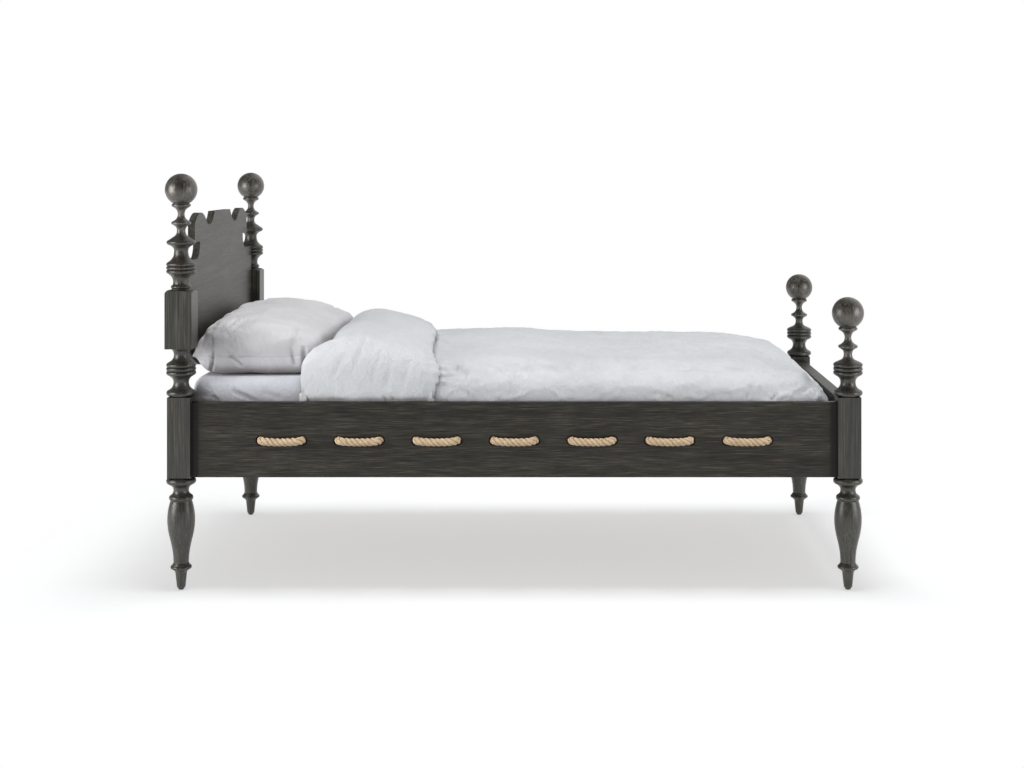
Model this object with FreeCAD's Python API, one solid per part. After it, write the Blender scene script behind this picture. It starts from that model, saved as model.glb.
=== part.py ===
import FreeCAD, Part
import math
import os

# A single bed with turned posts, a scalloped headboard and rope laced through its side rails.
# Millimetres. +X runs from head to foot, -Y is the near side, +Z is up, and the floor is at zero.

V = FreeCAD.Vector
os.makedirs("parts", exist_ok=True)

# Mattress and fitted sheet, which the frame is built around
mattress_length = 1880.0
mattress_width = 990.0
mattress_thickness = 200.0
mattress_corner_radius = 60.0
mattress_edge_radius = 36.0
mattress_head_gap = 16.0
mattress_foot_gap = 96.0
mattress_clip_gap = 1.2
sheet_thickness = 1.2
sheet_clearance = 0.3
sheet_turn_under = 90.0
rest_clearance = 0.3

# One overrun for every cut
cut_overrun = 5.0

# Leg turning, from the floor up
foot_flat_radius = 7.0
foot_tip_radius = 13.0
foot_tip_rise = 9.0
foot_top_radius = 17.5
foot_taper_rise = 43.0
ankle_base_radius = 28.0
ankle_flare_rise = 11.0
ankle_ring_rise = 11.0
ankle_ring_depth = 4.0
ankle_top_rise = 8.0
vase_low_radius = 23.0
vase_low_rise = 132.0
vase_radius = 41.6
vase_high_rise = 56.0
vase_high_radius = 32.6
knee_groove_rise = 2.0
knee_ring_rise = 15.0
knee_ring_depth = 3.8
leg_neck_radius = 23.0
leg_neck_low_rise = 16.0
leg_neck_high_rise = 19.0
collar_base_radius = 39.0
collar_rise = 18.0
collar_depth = 5.8
collar_groove_rise = 3.6

# Lower block and the turning above it
lower_block_side = 70.0
lower_block_rise = 244.4
block_core_radius = 30.0
cap_groove_radius = 37.0
cap_groove_rise = 2.0
cap_ring_rise = 18.0
cap_ring_depth = 7.0
waist_neck_radius = 23.0
waist_neck_low_rise = 23.0
waist_neck_high_rise = 21.0
bead_edge_radius = 38.0
bead_edge_rise = 2.0
bead_radius = 41.0
bead_depth = 3.6
lower_bead_rise = 12.0
bead_count = 3

# Head post above its lower beads
under_block_neck_radius = 22.0
under_block_neck_low_rise = 22.0
under_block_neck_high_rise = 19.0
under_block_radius = 30.0
under_block_edge_rise = 2.0
upper_block_side = 82.0
upper_block_rise = 178.0
shoulder_radius = 34.0
shoulder_rise = 9.0
over_block_radius = 28.0
over_block_flare_rise = 4.0
over_block_ring_rise = 9.0
over_block_ring_depth = 3.0
over_block_neck_radius = 24.0
over_block_neck_low_rise = 9.0
over_block_neck_high_rise = 26.0
upper_bead_rise = 11.0
long_neck_radius = 21.0
long_neck_low_rise = 33.0
long_neck_high_rise = 19.0
crown_ring_base_radius = 38.0
crown_ring_rise = 14.0
crown_ring_depth = 5.6
post_top_radius = 20.5
head_top_rise = 12.0
foot_top_slope_rise = 8.0

# Finial, the same on all four posts
finial_neck_radius = 12.8
finial_neck_low_rise = 17.0
finial_neck_high_rise = 18.0
finial_ring_base_radius = 25.6
finial_ring_rise = 10.0
finial_ring_depth = 4.0
ball_neck_radius = 10.2
ball_neck_low_rise = 22.0
ball_neck_high_rise = 22.0
ball_collar_base_radius = 25.0
ball_collar_rise = 10.0
ball_collar_depth = 3.8
ball_radius = 48.5
ball_seat_radius = 25.9
ball_seat_rise = 2.0
finial_tenon_radius = 8.0
finial_tenon_length = 34.0

# Side rails, end rails and their joints
rail_rise = 228.6
side_rail_thickness = 28.0
side_rail_setback = 18.0
end_rail_thickness = 40.0
stub_depth = 16.0
stub_thickness = 14.0
stub_rise = 150.0
tenon_depth = 26.0
tenon_thickness = 16.0
end_tenon_rise = 160.0
tenon_clearance = 0.2
rail_edge_round = 2.5

# Bed bolts
bolt_radius = 5.0
bolt_length = 118.0
bolt_hole_clearance = 0.5
bolt_head_width = 16.0
bolt_head_rise = 6.5
counterbore_clearance = 2.0
counterbore_depth = 14.0
washer_radius = 13.0
washer_thickness = 2.0
barrel_radius = 9.0
barrel_wall = 4.0
barrel_tip_margin = 16.0
hardware_clearance = 0.2

# Headboard
board_thickness = 22.0
board_drop = 77.7
plank_rise = 161.5
plank_count = 3
crest_half_width = 121.0
notch_depth = 35.0
notch_bulge = 27.0
lobe_centre = 318.0
lobe_half_width = 85.0
lobe_side_rise = 56.0
ear_undercut = 69.0
ear_drop = 8.0
cove_radius = 45.0
bead_gap = 2.0
hull_half_width = 300.0
hull_bulge_out = 100.0
hull_bulge_rise = 21.0
board_tenon_depth = 30.0
board_tenon_thickness = 12.0
board_tenon_margin = 14.0

# Cleats and slats
cleat_thickness = 25.0
cleat_rise = 38.0
cleat_end_gap = 12.0
slat_thickness = 19.0
slat_width = 70.0
slat_count = 13
slat_end_gap = 1.5
slat_lift = 94.4
slat_post_gap = 10.0
screw_radius = 2.5
screw_head_radius = 4.5
screw_head_rise = 3.0
cleat_screw_length = 45.0
cleat_screw_count = 6
cleat_screw_margin = 90.0
slat_screw_length = 40.0
screw_clearance = 0.1

# Rope and its end clips
rope_radius = 12.0
rope_slat_gap = 6.2
rope_sag = 5.0
rope_lay_gap = 0.5
rope_half_straight = 9.5
rope_hole_clearance = 1.0
rope_end_margin = 209.5
rope_stretch = 127.0
rope_stretch_count = 7
rope_tail = 92.0
clip_thickness = 1.5
clip_width = 18.0
clip_foot = 16.0
clip_clearance = 0.3
clip_whipping_gap = 2.0
clip_screw_radius = 2.0
clip_screw_length = 16.0
clip_screw_head_radius = 4.0
clip_screw_head_rise = 2.0
whipping_length = 20.0
whipping_thickness = 1.2
whipping_clearance = 0.1

# Pillow
pillow_length = 388.0
pillow_side_inset = 40.0
pillow_rise = 176.0
pillow_seam_height = 60.0
pillow_seam_thickness = 14.0
pillow_head_gap = 4.0
pillow_draw_in = 9.0

# Duvet
duvet_gap = 5.0
duvet_clip_gap = 4.0
duvet_side_clearance = 2.0
duvet_fold_length = 335.0
duvet_fold_rise = 164.0
duvet_fold_front_rise = 60.0
duvet_fold_hem_drop = 50.0
duvet_main_rise = 81.0
duvet_foot_knee_rise = 11.0
duvet_foot_thickness = 62.0
duvet_crown_drop = 28.0
duvet_shoulder_inset = 96.0
duvet_shoulder_drop = 92.0
duvet_foot_inset = 12.0
duvet_clearance = 0.5

# Shape shares: control points of the turned necks, and stations of the soft pieces
scoop_rim_share = 0.70
scoop_slope_share = 0.25
scoop_waist_share = 0.45
rope_slack_share = 0.75
vase_low_share = 0.45
vase_high_share = 0.40
vase_top_share = 0.62
vase_top_rise_share = 0.78
half_share = 0.5
pillow_top_share = 0.62
pillow_top_drop_share = 0.14
pillow_foot_drop_share = 0.40
pillow_foot_share = 0.80
duvet_fold_peak_share = 0.35
duvet_foot_start_share = 0.65
duvet_foot_flatten_share = 0.55

# Counts, and powers of the soft pieces' formulas
hexagon_sides = 6
pillow_stations = 20
pillow_side_power = 14
pillow_plump_power = 2.4
duvet_fold_stations = 8
duvet_main_stations = 12
duvet_fall_power = 4.8

# Places worked out from the sizes above
lower_half = lower_block_side / 2
upper_half = upper_block_side / 2
sheet_reach = sheet_clearance + sheet_thickness
clip_bore = rope_radius + clip_clearance
clip_outer = clip_bore + clip_thickness
rope_stand_off = rope_radius + rope_lay_gap
mattress_side_gap = rope_stand_off + clip_outer + sheet_reach + mattress_clip_gap
half_length = (mattress_length + mattress_head_gap + mattress_foot_gap + end_rail_thickness) / 2
half_width = mattress_width / 2 + mattress_side_gap + side_rail_thickness + side_rail_setback - lower_half
rail_bottom = (foot_tip_rise + foot_taper_rise + ankle_flare_rise + ankle_ring_rise + ankle_top_rise
               + vase_low_rise + vase_high_rise + knee_groove_rise + knee_ring_rise
               + leg_neck_low_rise + leg_neck_high_rise + collar_rise + collar_groove_rise)
rail_top = rail_bottom + rail_rise
rail_middle = rail_bottom + rail_rise / 2
post_inner_x = half_length - lower_half
post_outer_x = half_length + lower_half
post_inner_y = half_width - lower_half
rail_outer_y = half_width + lower_half - side_rail_setback
rail_inner_y = rail_outer_y - side_rail_thickness
rail_centre_y = (rail_outer_y + rail_inner_y) / 2
end_rail_inner_x = half_length - end_rail_thickness / 2
upper_block_bottom = (rail_bottom + lower_block_rise + cap_groove_rise + cap_ring_rise
                      + waist_neck_low_rise + waist_neck_high_rise + bead_edge_rise
                      + bead_count * lower_bead_rise + bead_edge_rise
                      + under_block_neck_low_rise + under_block_neck_high_rise + under_block_edge_rise)
upper_block_top = upper_block_bottom + upper_block_rise
block_inner_y = half_width - upper_half
slat_top_height = rail_bottom + slat_lift
rope_height = slat_top_height + rope_slat_gap + rope_radius
rope_bend_radius = side_rail_thickness / 2 + rope_stand_off - rope_half_straight
rope_mouth_radius = rope_bend_radius - rope_radius - rope_hole_clearance
clip_tail_setback = whipping_length + clip_whipping_gap + clip_width / 2
counterbore_radius = washer_radius + counterbore_clearance
barrel_length = side_rail_thickness - 2 * barrel_wall
bolt_seat_x = post_outer_x - counterbore_depth
bolt_head_x = bolt_seat_x + washer_thickness
bolt_tip_x = bolt_head_x - bolt_length
barrel_x = bolt_tip_x + barrel_tip_margin
cleat_top = slat_top_height - slat_thickness
slat_reach_x = post_inner_x - slat_post_gap - slat_width / 2
slat_reach_y = rail_inner_y - clip_thickness - clip_screw_head_rise - slat_end_gap
mattress_head_x = -end_rail_inner_x + mattress_head_gap
mattress_bottom = slat_top_height + rest_clearance + sheet_reach
mattress_top = mattress_bottom + mattress_thickness
sheet_top = mattress_top + sheet_reach
board_x = -half_length
board_bottom = upper_block_bottom - board_drop
board_top = board_bottom + plank_count * plank_rise
pillow_head_x = board_x + board_thickness / 2 + pillow_head_gap
pillow_foot_x = pillow_head_x + pillow_length
pillow_width = mattress_width - 2 * pillow_side_inset
duvet_tuck_height = rope_height + clip_outer + clip_foot + duvet_clip_gap
duvet_foot_top = (duvet_tuck_height + duvet_foot_knee_rise
                  + (duvet_shoulder_drop + duvet_crown_drop) * (1 - duvet_foot_flatten_share))
duvet_foot_drop = sheet_top + duvet_main_rise - duvet_foot_top
duvet_head_x = pillow_foot_x + duvet_gap
duvet_fold_end_x = duvet_head_x + duvet_fold_length
duvet_foot_x = mattress_head_x + mattress_length + sheet_reach + duvet_foot_thickness


def save(shape, name):
    """Check one solid or group of solids and write it as its own file."""
    for solid in shape.Solids:
        if not solid.isValid() or solid.Volume <= 0:
            raise ValueError("bad solid in " + name)
    shape.exportStep(os.path.join("parts", name + ".step"))
    print(name, len(shape.Solids), round(shape.Volume))


def box(x_span, y_span, z_span):
    """A box between two places on each axis, given in either order."""
    low = V(min(x_span), min(y_span), min(z_span))
    high = V(max(x_span), max(y_span), max(z_span))
    size = high - low
    return Part.makeBox(size.x, size.y, size.z, low)


def cylinder(start, end, radius):
    """A cylinder from one point to another."""
    run = end - start
    return Part.makeCylinder(radius, run.Length, start, run)


def mirrored(shape, side):
    """The near-side shape as drawn, or its mirror image on the far side."""
    if side == "near":
        return shape.copy()
    return shape.mirror(V(0, 0, 0), V(0, 1, 0))


class Turning:
    """The outline of a turned piece, drawn upwards as radius and height."""

    def __init__(self, radius, height):
        self.start = V(0, 0, height)
        self.at = V(radius, 0, height)
        self.edges = [Part.makeLine(self.start, self.at)]

    def line(self, radius, rise):
        end = V(radius, 0, self.at.z + rise)
        self.edges.append(Part.makeLine(self.at, end))
        self.at = end

    def arc(self, middle_radius, middle_rise, radius, rise):
        middle = V(middle_radius, 0, self.at.z + middle_rise)
        end = V(radius, 0, self.at.z + rise)
        self.edges.append(Part.Arc(self.at, middle, end).toShape())
        self.at = end

    def bead(self, rise, depth):
        self.arc(self.at.x + depth, rise / 2, self.at.x, rise)

    def bezier(self, poles):
        curve = Part.BezierCurve()
        curve.setPoles([self.at] + poles)
        self.edges.append(curve.toShape())
        self.at = poles[-1]

    def scoop(self, waist_radius, low_rise, end_radius, high_rise):
        """A hollow neck: in to the waist, then out again."""
        start = self.at
        waist = V(waist_radius, 0, start.z + low_rise)
        end = V(end_radius, 0, waist.z + high_rise)
        rim = V(start.x + (waist.x - start.x) * scoop_rim_share, 0, start.z + low_rise * scoop_slope_share)
        self.bezier([rim, V(waist.x, 0, waist.z - low_rise * scoop_waist_share), waist])
        rim = V(end.x + (waist.x - end.x) * scoop_rim_share, 0, end.z - high_rise * scoop_slope_share)
        self.bezier([V(waist.x, 0, waist.z + high_rise * scoop_waist_share), rim, end])

    def beads(self, rise):
        """A row of beads between two short edges."""
        self.line(bead_radius, bead_edge_rise)
        for _ in range(bead_count):
            self.bead(rise, bead_depth)
        self.line(bead_edge_radius, bead_edge_rise)

    def solid(self):
        top = V(0, 0, self.at.z)
        outline = self.edges + [Part.makeLine(self.at, top), Part.makeLine(top, self.start)]
        face = Part.Face(Part.Wire(outline))
        return face.revolve(V(0, 0, 0), V(0, 0, 1), 360)


def leg_turning():
    """The leg from the floor to the rail's lower edge, then the ring, neck and beads above the block."""
    leg = Turning(foot_flat_radius, 0)
    leg.line(foot_tip_radius, foot_tip_rise)
    leg.line(foot_top_radius, foot_taper_rise)
    leg.arc((foot_top_radius + ankle_base_radius) / 2 - ankle_ring_depth / 2, ankle_flare_rise / 2,
            ankle_base_radius, ankle_flare_rise)
    leg.bead(ankle_ring_rise, ankle_ring_depth)
    leg.line(vase_low_radius, ankle_top_rise)
    start = leg.at
    belly = V(vase_radius, 0, start.z + vase_low_rise)
    leg.bezier([V(start.x, 0, start.z + vase_low_rise * vase_low_share),
                V(belly.x, 0, belly.z - vase_low_rise * vase_high_share), belly])
    top = V(vase_high_radius, 0, belly.z + vase_high_rise)
    shoulder_x = belly.x + (top.x - belly.x) * vase_top_share
    leg.bezier([V(belly.x, 0, belly.z + vase_high_rise * vase_low_share),
                V(shoulder_x, 0, belly.z + vase_high_rise * vase_top_rise_share), top])
    leg.line(vase_high_radius, knee_groove_rise)
    leg.bead(knee_ring_rise, knee_ring_depth)
    leg.scoop(leg_neck_radius, leg_neck_low_rise, collar_base_radius, leg_neck_high_rise)
    leg.bead(collar_rise, collar_depth)
    leg.line(block_core_radius, collar_groove_rise)
    leg.line(block_core_radius, lower_block_rise)
    leg.line(cap_groove_radius, cap_groove_rise)
    leg.bead(cap_ring_rise, cap_ring_depth)
    leg.scoop(waist_neck_radius, waist_neck_low_rise, bead_edge_radius, waist_neck_high_rise)
    leg.beads(lower_bead_rise)
    return leg


def finial_hole(top_height):
    """The hole in a post's top for the finial's tenon."""
    depth = finial_tenon_length + hardware_clearance
    return cylinder(V(0, 0, top_height + cut_overrun), V(0, 0, top_height - depth),
                    finial_tenon_radius + hardware_clearance)


def lower_block():
    sides = (-lower_half, lower_half)
    return box(sides, sides, (rail_bottom, rail_bottom + lower_block_rise))


def upper_block():
    """The head post's upper block, its top corners turned to a round shoulder."""
    sides = (-upper_half, upper_half)
    block = box(sides, sides, (upper_block_bottom, upper_block_top))
    turning = Turning(upper_block_side, upper_block_bottom)
    turning.line(upper_block_side, upper_block_rise - shoulder_rise)
    corner_radius = upper_half * math.sqrt(2)
    turning.line(corner_radius, 0)
    turning.arc((shoulder_radius + corner_radius) / 2 + shoulder_rise / 4, shoulder_rise / 2,
                shoulder_radius, shoulder_rise)
    return block.common(turning.solid())


def plain_head_post():
    post = leg_turning()
    post.scoop(under_block_neck_radius, under_block_neck_low_rise,
               under_block_radius, under_block_neck_high_rise)
    post.line(under_block_radius, under_block_edge_rise)
    post.line(under_block_radius, upper_block_rise)
    post.line(over_block_radius, over_block_flare_rise)
    post.bead(over_block_ring_rise, over_block_ring_depth)
    post.scoop(over_block_neck_radius, over_block_neck_low_rise, bead_edge_radius, over_block_neck_high_rise)
    post.beads(upper_bead_rise)
    post.scoop(long_neck_radius, long_neck_low_rise, crown_ring_base_radius, long_neck_high_rise)
    post.bead(crown_ring_rise, crown_ring_depth)
    post.line(post_top_radius, head_top_rise)
    solid = post.solid().fuse([lower_block(), upper_block()]).removeSplitter()
    return solid.cut(finial_hole(post.at.z)), post.at.z


def plain_foot_post():
    post = leg_turning()
    post.line(post_top_radius, foot_top_slope_rise)
    solid = post.solid().fuse(lower_block()).removeSplitter()
    return solid.cut(finial_hole(post.at.z)), post.at.z


def finial(base_height):
    """Ball finial with its ring, necks and tenon, standing on a post's top."""
    turned = Turning(post_top_radius, base_height)
    turned.scoop(finial_neck_radius, finial_neck_low_rise, finial_ring_base_radius, finial_neck_high_rise)
    turned.bead(finial_ring_rise, finial_ring_depth)
    turned.scoop(ball_neck_radius, ball_neck_low_rise, ball_collar_base_radius, ball_neck_high_rise)
    turned.bead(ball_collar_rise, ball_collar_depth)
    turned.line(ball_seat_radius, ball_seat_rise)
    seat_drop = math.sqrt(ball_radius ** 2 - ball_seat_radius ** 2)
    turned.arc(ball_radius, seat_drop, 0, seat_drop + ball_radius)
    edges = turned.edges + [Part.makeLine(turned.at, turned.start)]
    body = Part.Face(Part.Wire(edges)).revolve(V(0, 0, 0), V(0, 0, 1), 360)
    tenon = cylinder(V(0, 0, base_height), V(0, 0, base_height - finial_tenon_length), finial_tenon_radius)
    return body.fuse(tenon)


def joinery_cuts(end):
    """What is cut from a near-side post at one end: rail and end-rail mortises, and the bolt's hole."""
    inward = 1 if end == "head" else -1
    axis_x = -inward * half_length
    inner_x = axis_x + inward * lower_half
    outer_x = axis_x - inward * lower_half
    half_stub = stub_thickness / 2 + tenon_clearance
    half_rise = stub_rise / 2 + tenon_clearance
    stub = box((inner_x + inward * cut_overrun, inner_x - inward * (stub_depth + tenon_clearance)),
               (-rail_centre_y - half_stub, -rail_centre_y + half_stub),
               (rail_middle - half_rise, rail_middle + half_rise))
    half_tenon = tenon_thickness / 2 + tenon_clearance
    half_end_rise = end_tenon_rise / 2 + tenon_clearance
    mortise = box((axis_x - half_tenon, axis_x + half_tenon),
                  (-post_inner_y + cut_overrun, -post_inner_y - tenon_depth - tenon_clearance),
                  (rail_middle - half_end_rise, rail_middle + half_end_rise))
    bolt_start = V(outer_x - inward * cut_overrun, -rail_centre_y, rail_middle)
    bolt_end = V(inner_x + inward * cut_overrun, -rail_centre_y, rail_middle)
    bolt = cylinder(bolt_start, bolt_end, bolt_radius + bolt_hole_clearance)
    seat = cylinder(bolt_start, V(outer_x + inward * counterbore_depth, -rail_centre_y, rail_middle),
                    counterbore_radius)
    return [stub, mortise, bolt, seat]


def board_tenon_spans():
    """Heights of the two headboard tenons, one on each plank that meets the upper blocks."""
    joint = board_bottom + plank_rise
    return [(upper_block_bottom + board_tenon_margin, joint - board_tenon_margin / 2),
            (joint + board_tenon_margin / 2, upper_block_top - shoulder_rise - board_tenon_margin)]


def board_mortises():
    half = board_tenon_thickness / 2 + tenon_clearance
    cuts = []
    for low, high in board_tenon_spans():
        cuts.append(box((board_x - half, board_x + half),
                        (-block_inner_y + cut_overrun, -block_inner_y - board_tenon_depth - tenon_clearance),
                        (low - tenon_clearance, high + tenon_clearance)))
    return cuts


def make_posts():
    for end, plain in (("head", plain_head_post), ("foot", plain_foot_post)):
        place = V(-half_length if end == "head" else half_length, -half_width, 0)
        post, top_height = plain()
        post.translate(place)
        cuts = joinery_cuts(end)
        if end == "head":
            cuts += board_mortises()
        post = post.cut(cuts)
        ball = finial(top_height)
        ball.translate(place)
        for side in ("near", "far"):
            save(mirrored(post, side), end + "_post_" + side)
            save(mirrored(ball, side), end + "_finial_" + side)


def rope_places():
    """X of the two holes of every outer stretch, from head to foot."""
    reach = post_inner_x - rope_end_margin - rope_stretch / 2
    centres = spread(-reach, reach, rope_stretch_count)
    return [(centre - rope_stretch / 2, centre + rope_stretch / 2) for centre in centres]


def rope_hole():
    """A through hole with rounded mouths on both faces, its axis on Z and its outer face at zero."""
    throat = rope_radius + rope_hole_clearance
    inset = rope_mouth_radius * (1 - math.sqrt(half_share))
    hole = Turning(throat + rope_mouth_radius, -cut_overrun)
    hole.line(throat + rope_mouth_radius, cut_overrun)
    hole.arc(throat + inset, inset, throat, rope_mouth_radius)
    hole.line(throat, side_rail_thickness - 2 * rope_mouth_radius)
    hole.arc(throat + inset, rope_mouth_radius - inset, throat + rope_mouth_radius, rope_mouth_radius)
    hole.line(hole.at.x, cut_overrun)
    return hole.solid()


def make_side_rails():
    rail = box((-post_inner_x, post_inner_x), (-rail_outer_y, -rail_inner_y), (rail_bottom, rail_top))
    long_edges = [edge for edge in rail.Edges if abs(edge.tangentAt(edge.FirstParameter).x) > half_share]
    rail = rail.makeFillet(rail_edge_round, long_edges)
    half_stub = stub_thickness / 2
    for inward in (1, -1):
        end_x = -inward * post_inner_x
        stub = box((end_x, end_x - inward * stub_depth),
                   (-rail_centre_y - half_stub, -rail_centre_y + half_stub),
                   (rail_middle - stub_rise / 2, rail_middle + stub_rise / 2))
        bolt_way = cylinder(V(end_x - inward * (stub_depth + cut_overrun), -rail_centre_y, rail_middle),
                            V(-inward * (bolt_tip_x - cut_overrun), -rail_centre_y, rail_middle),
                            bolt_radius + bolt_hole_clearance)
        barrel_way = cylinder(V(-inward * barrel_x, -rail_inner_y + cut_overrun, rail_middle),
                              V(-inward * barrel_x, -rail_centre_y - barrel_length / 2, rail_middle),
                              barrel_radius + hardware_clearance)
        rail = rail.fuse(stub).cut([bolt_way, barrel_way])
    holes = []
    for pair in rope_places():
        for x in pair:
            hole = rope_hole()
            hole.rotate(V(0, 0, 0), V(1, 0, 0), -90)
            hole.translate(V(x, -rail_outer_y, rope_height))
            holes.append(hole)
    rail = rail.cut(holes)
    rail = rail.cut(cleat_screw_ways() + clip_screw_ways())
    for side in ("near", "far"):
        save(mirrored(rail, side), "side_rail_" + side)


def make_end_rails():
    half_tenon = tenon_thickness / 2
    for end, axis_x in (("head", -half_length), ("foot", half_length)):
        x_span = (axis_x - end_rail_thickness / 2, axis_x + end_rail_thickness / 2)
        rail = box(x_span, (-post_inner_y, post_inner_y), (rail_bottom, rail_top))
        long_edges = [edge for edge in rail.Edges if abs(edge.tangentAt(edge.FirstParameter).y) > half_share]
        rail = rail.makeFillet(rail_edge_round, long_edges)
        tenon = box((axis_x - half_tenon, axis_x + half_tenon),
                    (-post_inner_y - tenon_depth, post_inner_y + tenon_depth),
                    (rail_middle - end_tenon_rise / 2, rail_middle + end_tenon_rise / 2))
        save(rail.fuse(tenon), end + "_rail")


def hexagon(width, start, rise_along_x):
    """A hexagonal prism across the flats, standing along X from a point."""
    radius = width / 2 / math.cos(math.pi / hexagon_sides)
    corners = []
    for index in range(hexagon_sides + 1):
        angle = 2 * math.pi * index / hexagon_sides
        corners.append(start + V(0, radius * math.cos(angle), radius * math.sin(angle)))
    return Part.Face(Part.makePolygon(corners)).extrude(V(rise_along_x, 0, 0))


def make_bed_bolts():
    for end, inward in (("head", 1), ("foot", -1)):
        at = V(-inward * bolt_head_x, -rail_centre_y, rail_middle)
        shank = cylinder(at, V(-inward * bolt_tip_x, at.y, at.z), bolt_radius)
        bolt = shank.fuse(hexagon(bolt_head_width, at, -inward * bolt_head_rise))
        seat = V(-inward * bolt_seat_x, at.y, at.z)
        overrun = V(cut_overrun, 0, 0)
        washer_hole = cylinder(seat - overrun, seat + overrun, bolt_radius + hardware_clearance)
        washer = cylinder(seat, at, washer_radius).cut(washer_hole)
        nut_x = -inward * barrel_x
        half_barrel = barrel_length / 2 - hardware_clearance
        nut = cylinder(V(nut_x, at.y - half_barrel, at.z), V(nut_x, at.y + half_barrel, at.z), barrel_radius)
        thread_start = V(nut_x - 2 * barrel_radius, at.y, at.z)
        thread_end = V(nut_x + 2 * barrel_radius, at.y, at.z)
        nut = nut.cut(cylinder(thread_start, thread_end, bolt_radius + hardware_clearance / 2))
        for side in ("near", "far"):
            save(mirrored(bolt, side), "bed_bolt_" + end + "_" + side)
            save(mirrored(washer, side), "bolt_washer_" + end + "_" + side)
            save(mirrored(nut, side), "barrel_nut_" + end + "_" + side)


def line(start, end):
    return Part.makeLine(start, end)


def arc(start, middle, end):
    return Part.Arc(start, middle, end).toShape()


def board_point(y, z):
    return V(board_x - board_thickness / 2, y, z)


def half_board_outline(hand):
    """One half of the headboard's outline, from the top middle down to the bottom middle."""
    side_y = half_width - bead_radius - bead_depth - bead_gap
    block_z = upper_block_top - shoulder_rise
    lobe_in = lobe_centre - lobe_half_width
    lobe_out = lobe_centre + lobe_half_width
    notch_z = board_top - notch_depth
    ear_z = notch_z - lobe_side_rise
    under_y = lobe_out - ear_undercut
    cove_z = ear_z - ear_drop - cove_radius
    inset = cove_radius * (1 - math.sqrt(half_share))

    def at(y, z):
        return board_point(hand * y, z)

    notch_middle = at((crest_half_width + lobe_in) / 2 - notch_bulge, notch_z + notch_bulge / 4)
    return [
        line(at(0, board_top), at(crest_half_width, board_top)),
        arc(at(crest_half_width, board_top), notch_middle, at(lobe_in, notch_z)),
        arc(at(lobe_in, notch_z), at(lobe_centre, board_top), at(lobe_out, notch_z)),
        line(at(lobe_out, notch_z), at(lobe_out, ear_z)),
        line(at(lobe_out, ear_z), at(under_y, ear_z)),
        line(at(under_y, ear_z), at(under_y, ear_z - ear_drop)),
        arc(at(under_y, ear_z - ear_drop), at(under_y + inset, cove_z + inset),
            at(under_y + cove_radius, cove_z)),
        line(at(under_y + cove_radius, cove_z), at(side_y, cove_z)),
        line(at(side_y, cove_z), at(side_y, block_z)),
        line(at(side_y, block_z), at(block_inner_y, block_z)),
        line(at(block_inner_y, block_z), at(block_inner_y, upper_block_bottom)),
        arc(at(block_inner_y, upper_block_bottom),
            at(hull_half_width + hull_bulge_out, board_bottom + hull_bulge_rise),
            at(hull_half_width, board_bottom)),
        line(at(hull_half_width, board_bottom), at(0, board_bottom)),
    ]


def make_headboard():
    outline = half_board_outline(1) + half_board_outline(-1)
    face = Part.Face(Part.Wire(Part.__sortEdges__(outline)))
    board = face.extrude(V(board_thickness, 0, 0))
    x_span = (board_x - board_thickness, board_x + board_thickness)
    half = board_tenon_thickness / 2
    reach = block_inner_y + board_tenon_depth
    tenon_span = (board_x - half, board_x + half)
    tenons = [box(tenon_span, (-reach, reach), rise_span) for rise_span in board_tenon_spans()]
    for index, name in enumerate(("lower", "middle", "upper")):
        low = board_bottom + index * plank_rise
        plank = board.common(box(x_span, (-half_width, half_width), (low, low + plank_rise)))
        if index < len(tenons):
            plank = plank.fuse(tenons[index])
        save(plank, "headboard_plank_" + name)


def screw(start, direction, length, head):
    """A countersunk screw: its head's flat face at the start point, running along the direction."""
    cone = Part.makeCone(head, screw_radius, screw_head_rise, start, direction)
    shank_start = start + direction * screw_head_rise
    shank = cylinder(shank_start, start + direction * length, screw_radius)
    return cone.fuse(shank)


def spread(first, last, count):
    return [first + (last - first) * index / (count - 1) for index in range(count)]


def cleat_screw_starts():
    z = cleat_top - cleat_rise / 2
    reach = end_rail_inner_x - cleat_screw_margin
    return [V(x, -rail_inner_y + cleat_thickness, z) for x in spread(-reach, reach, cleat_screw_count)]


def cleat_screw_ways():
    radius = screw_radius + screw_clearance
    run = V(0, -cleat_screw_length - screw_clearance, 0)
    return [cylinder(at, at + run, radius) for at in cleat_screw_starts()]


def countersinks(starts, direction, length):
    """Clearance holes for countersunk screws, wider than the screws all over."""
    ways = []
    for at in starts:
        cone = Part.makeCone(screw_head_radius + screw_clearance, screw_radius + screw_clearance,
                             screw_head_rise + screw_clearance, at, direction)
        ways.append(cone)
        ways.append(cylinder(at, at + direction * (length + screw_clearance), screw_radius + screw_clearance))
    return ways


def slat_centres():
    return spread(-slat_reach_x, slat_reach_x, slat_count)


def slat_screw_starts():
    y = rail_inner_y - cleat_thickness / 2
    return [V(x, -y, slat_top_height) for x in slat_centres()]


def make_cleats():
    reach = post_inner_x - cleat_end_gap
    cleat = box((-reach, reach), (-rail_inner_y, -rail_inner_y + cleat_thickness),
                (cleat_top - cleat_rise, cleat_top))
    cleat = cleat.cut(countersinks(cleat_screw_starts(), V(0, -1, 0), cleat_screw_length))
    cleat = cleat.cut(countersinks(slat_screw_starts(), V(0, 0, -1), slat_screw_length))
    screws = [screw(at, V(0, -1, 0), cleat_screw_length, screw_head_radius) for at in cleat_screw_starts()]
    group = Part.makeCompound(screws)
    for side in ("near", "far"):
        save(mirrored(cleat, side), "cleat_" + side)
        save(mirrored(group, side), "cleat_screws_" + side)


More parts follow.
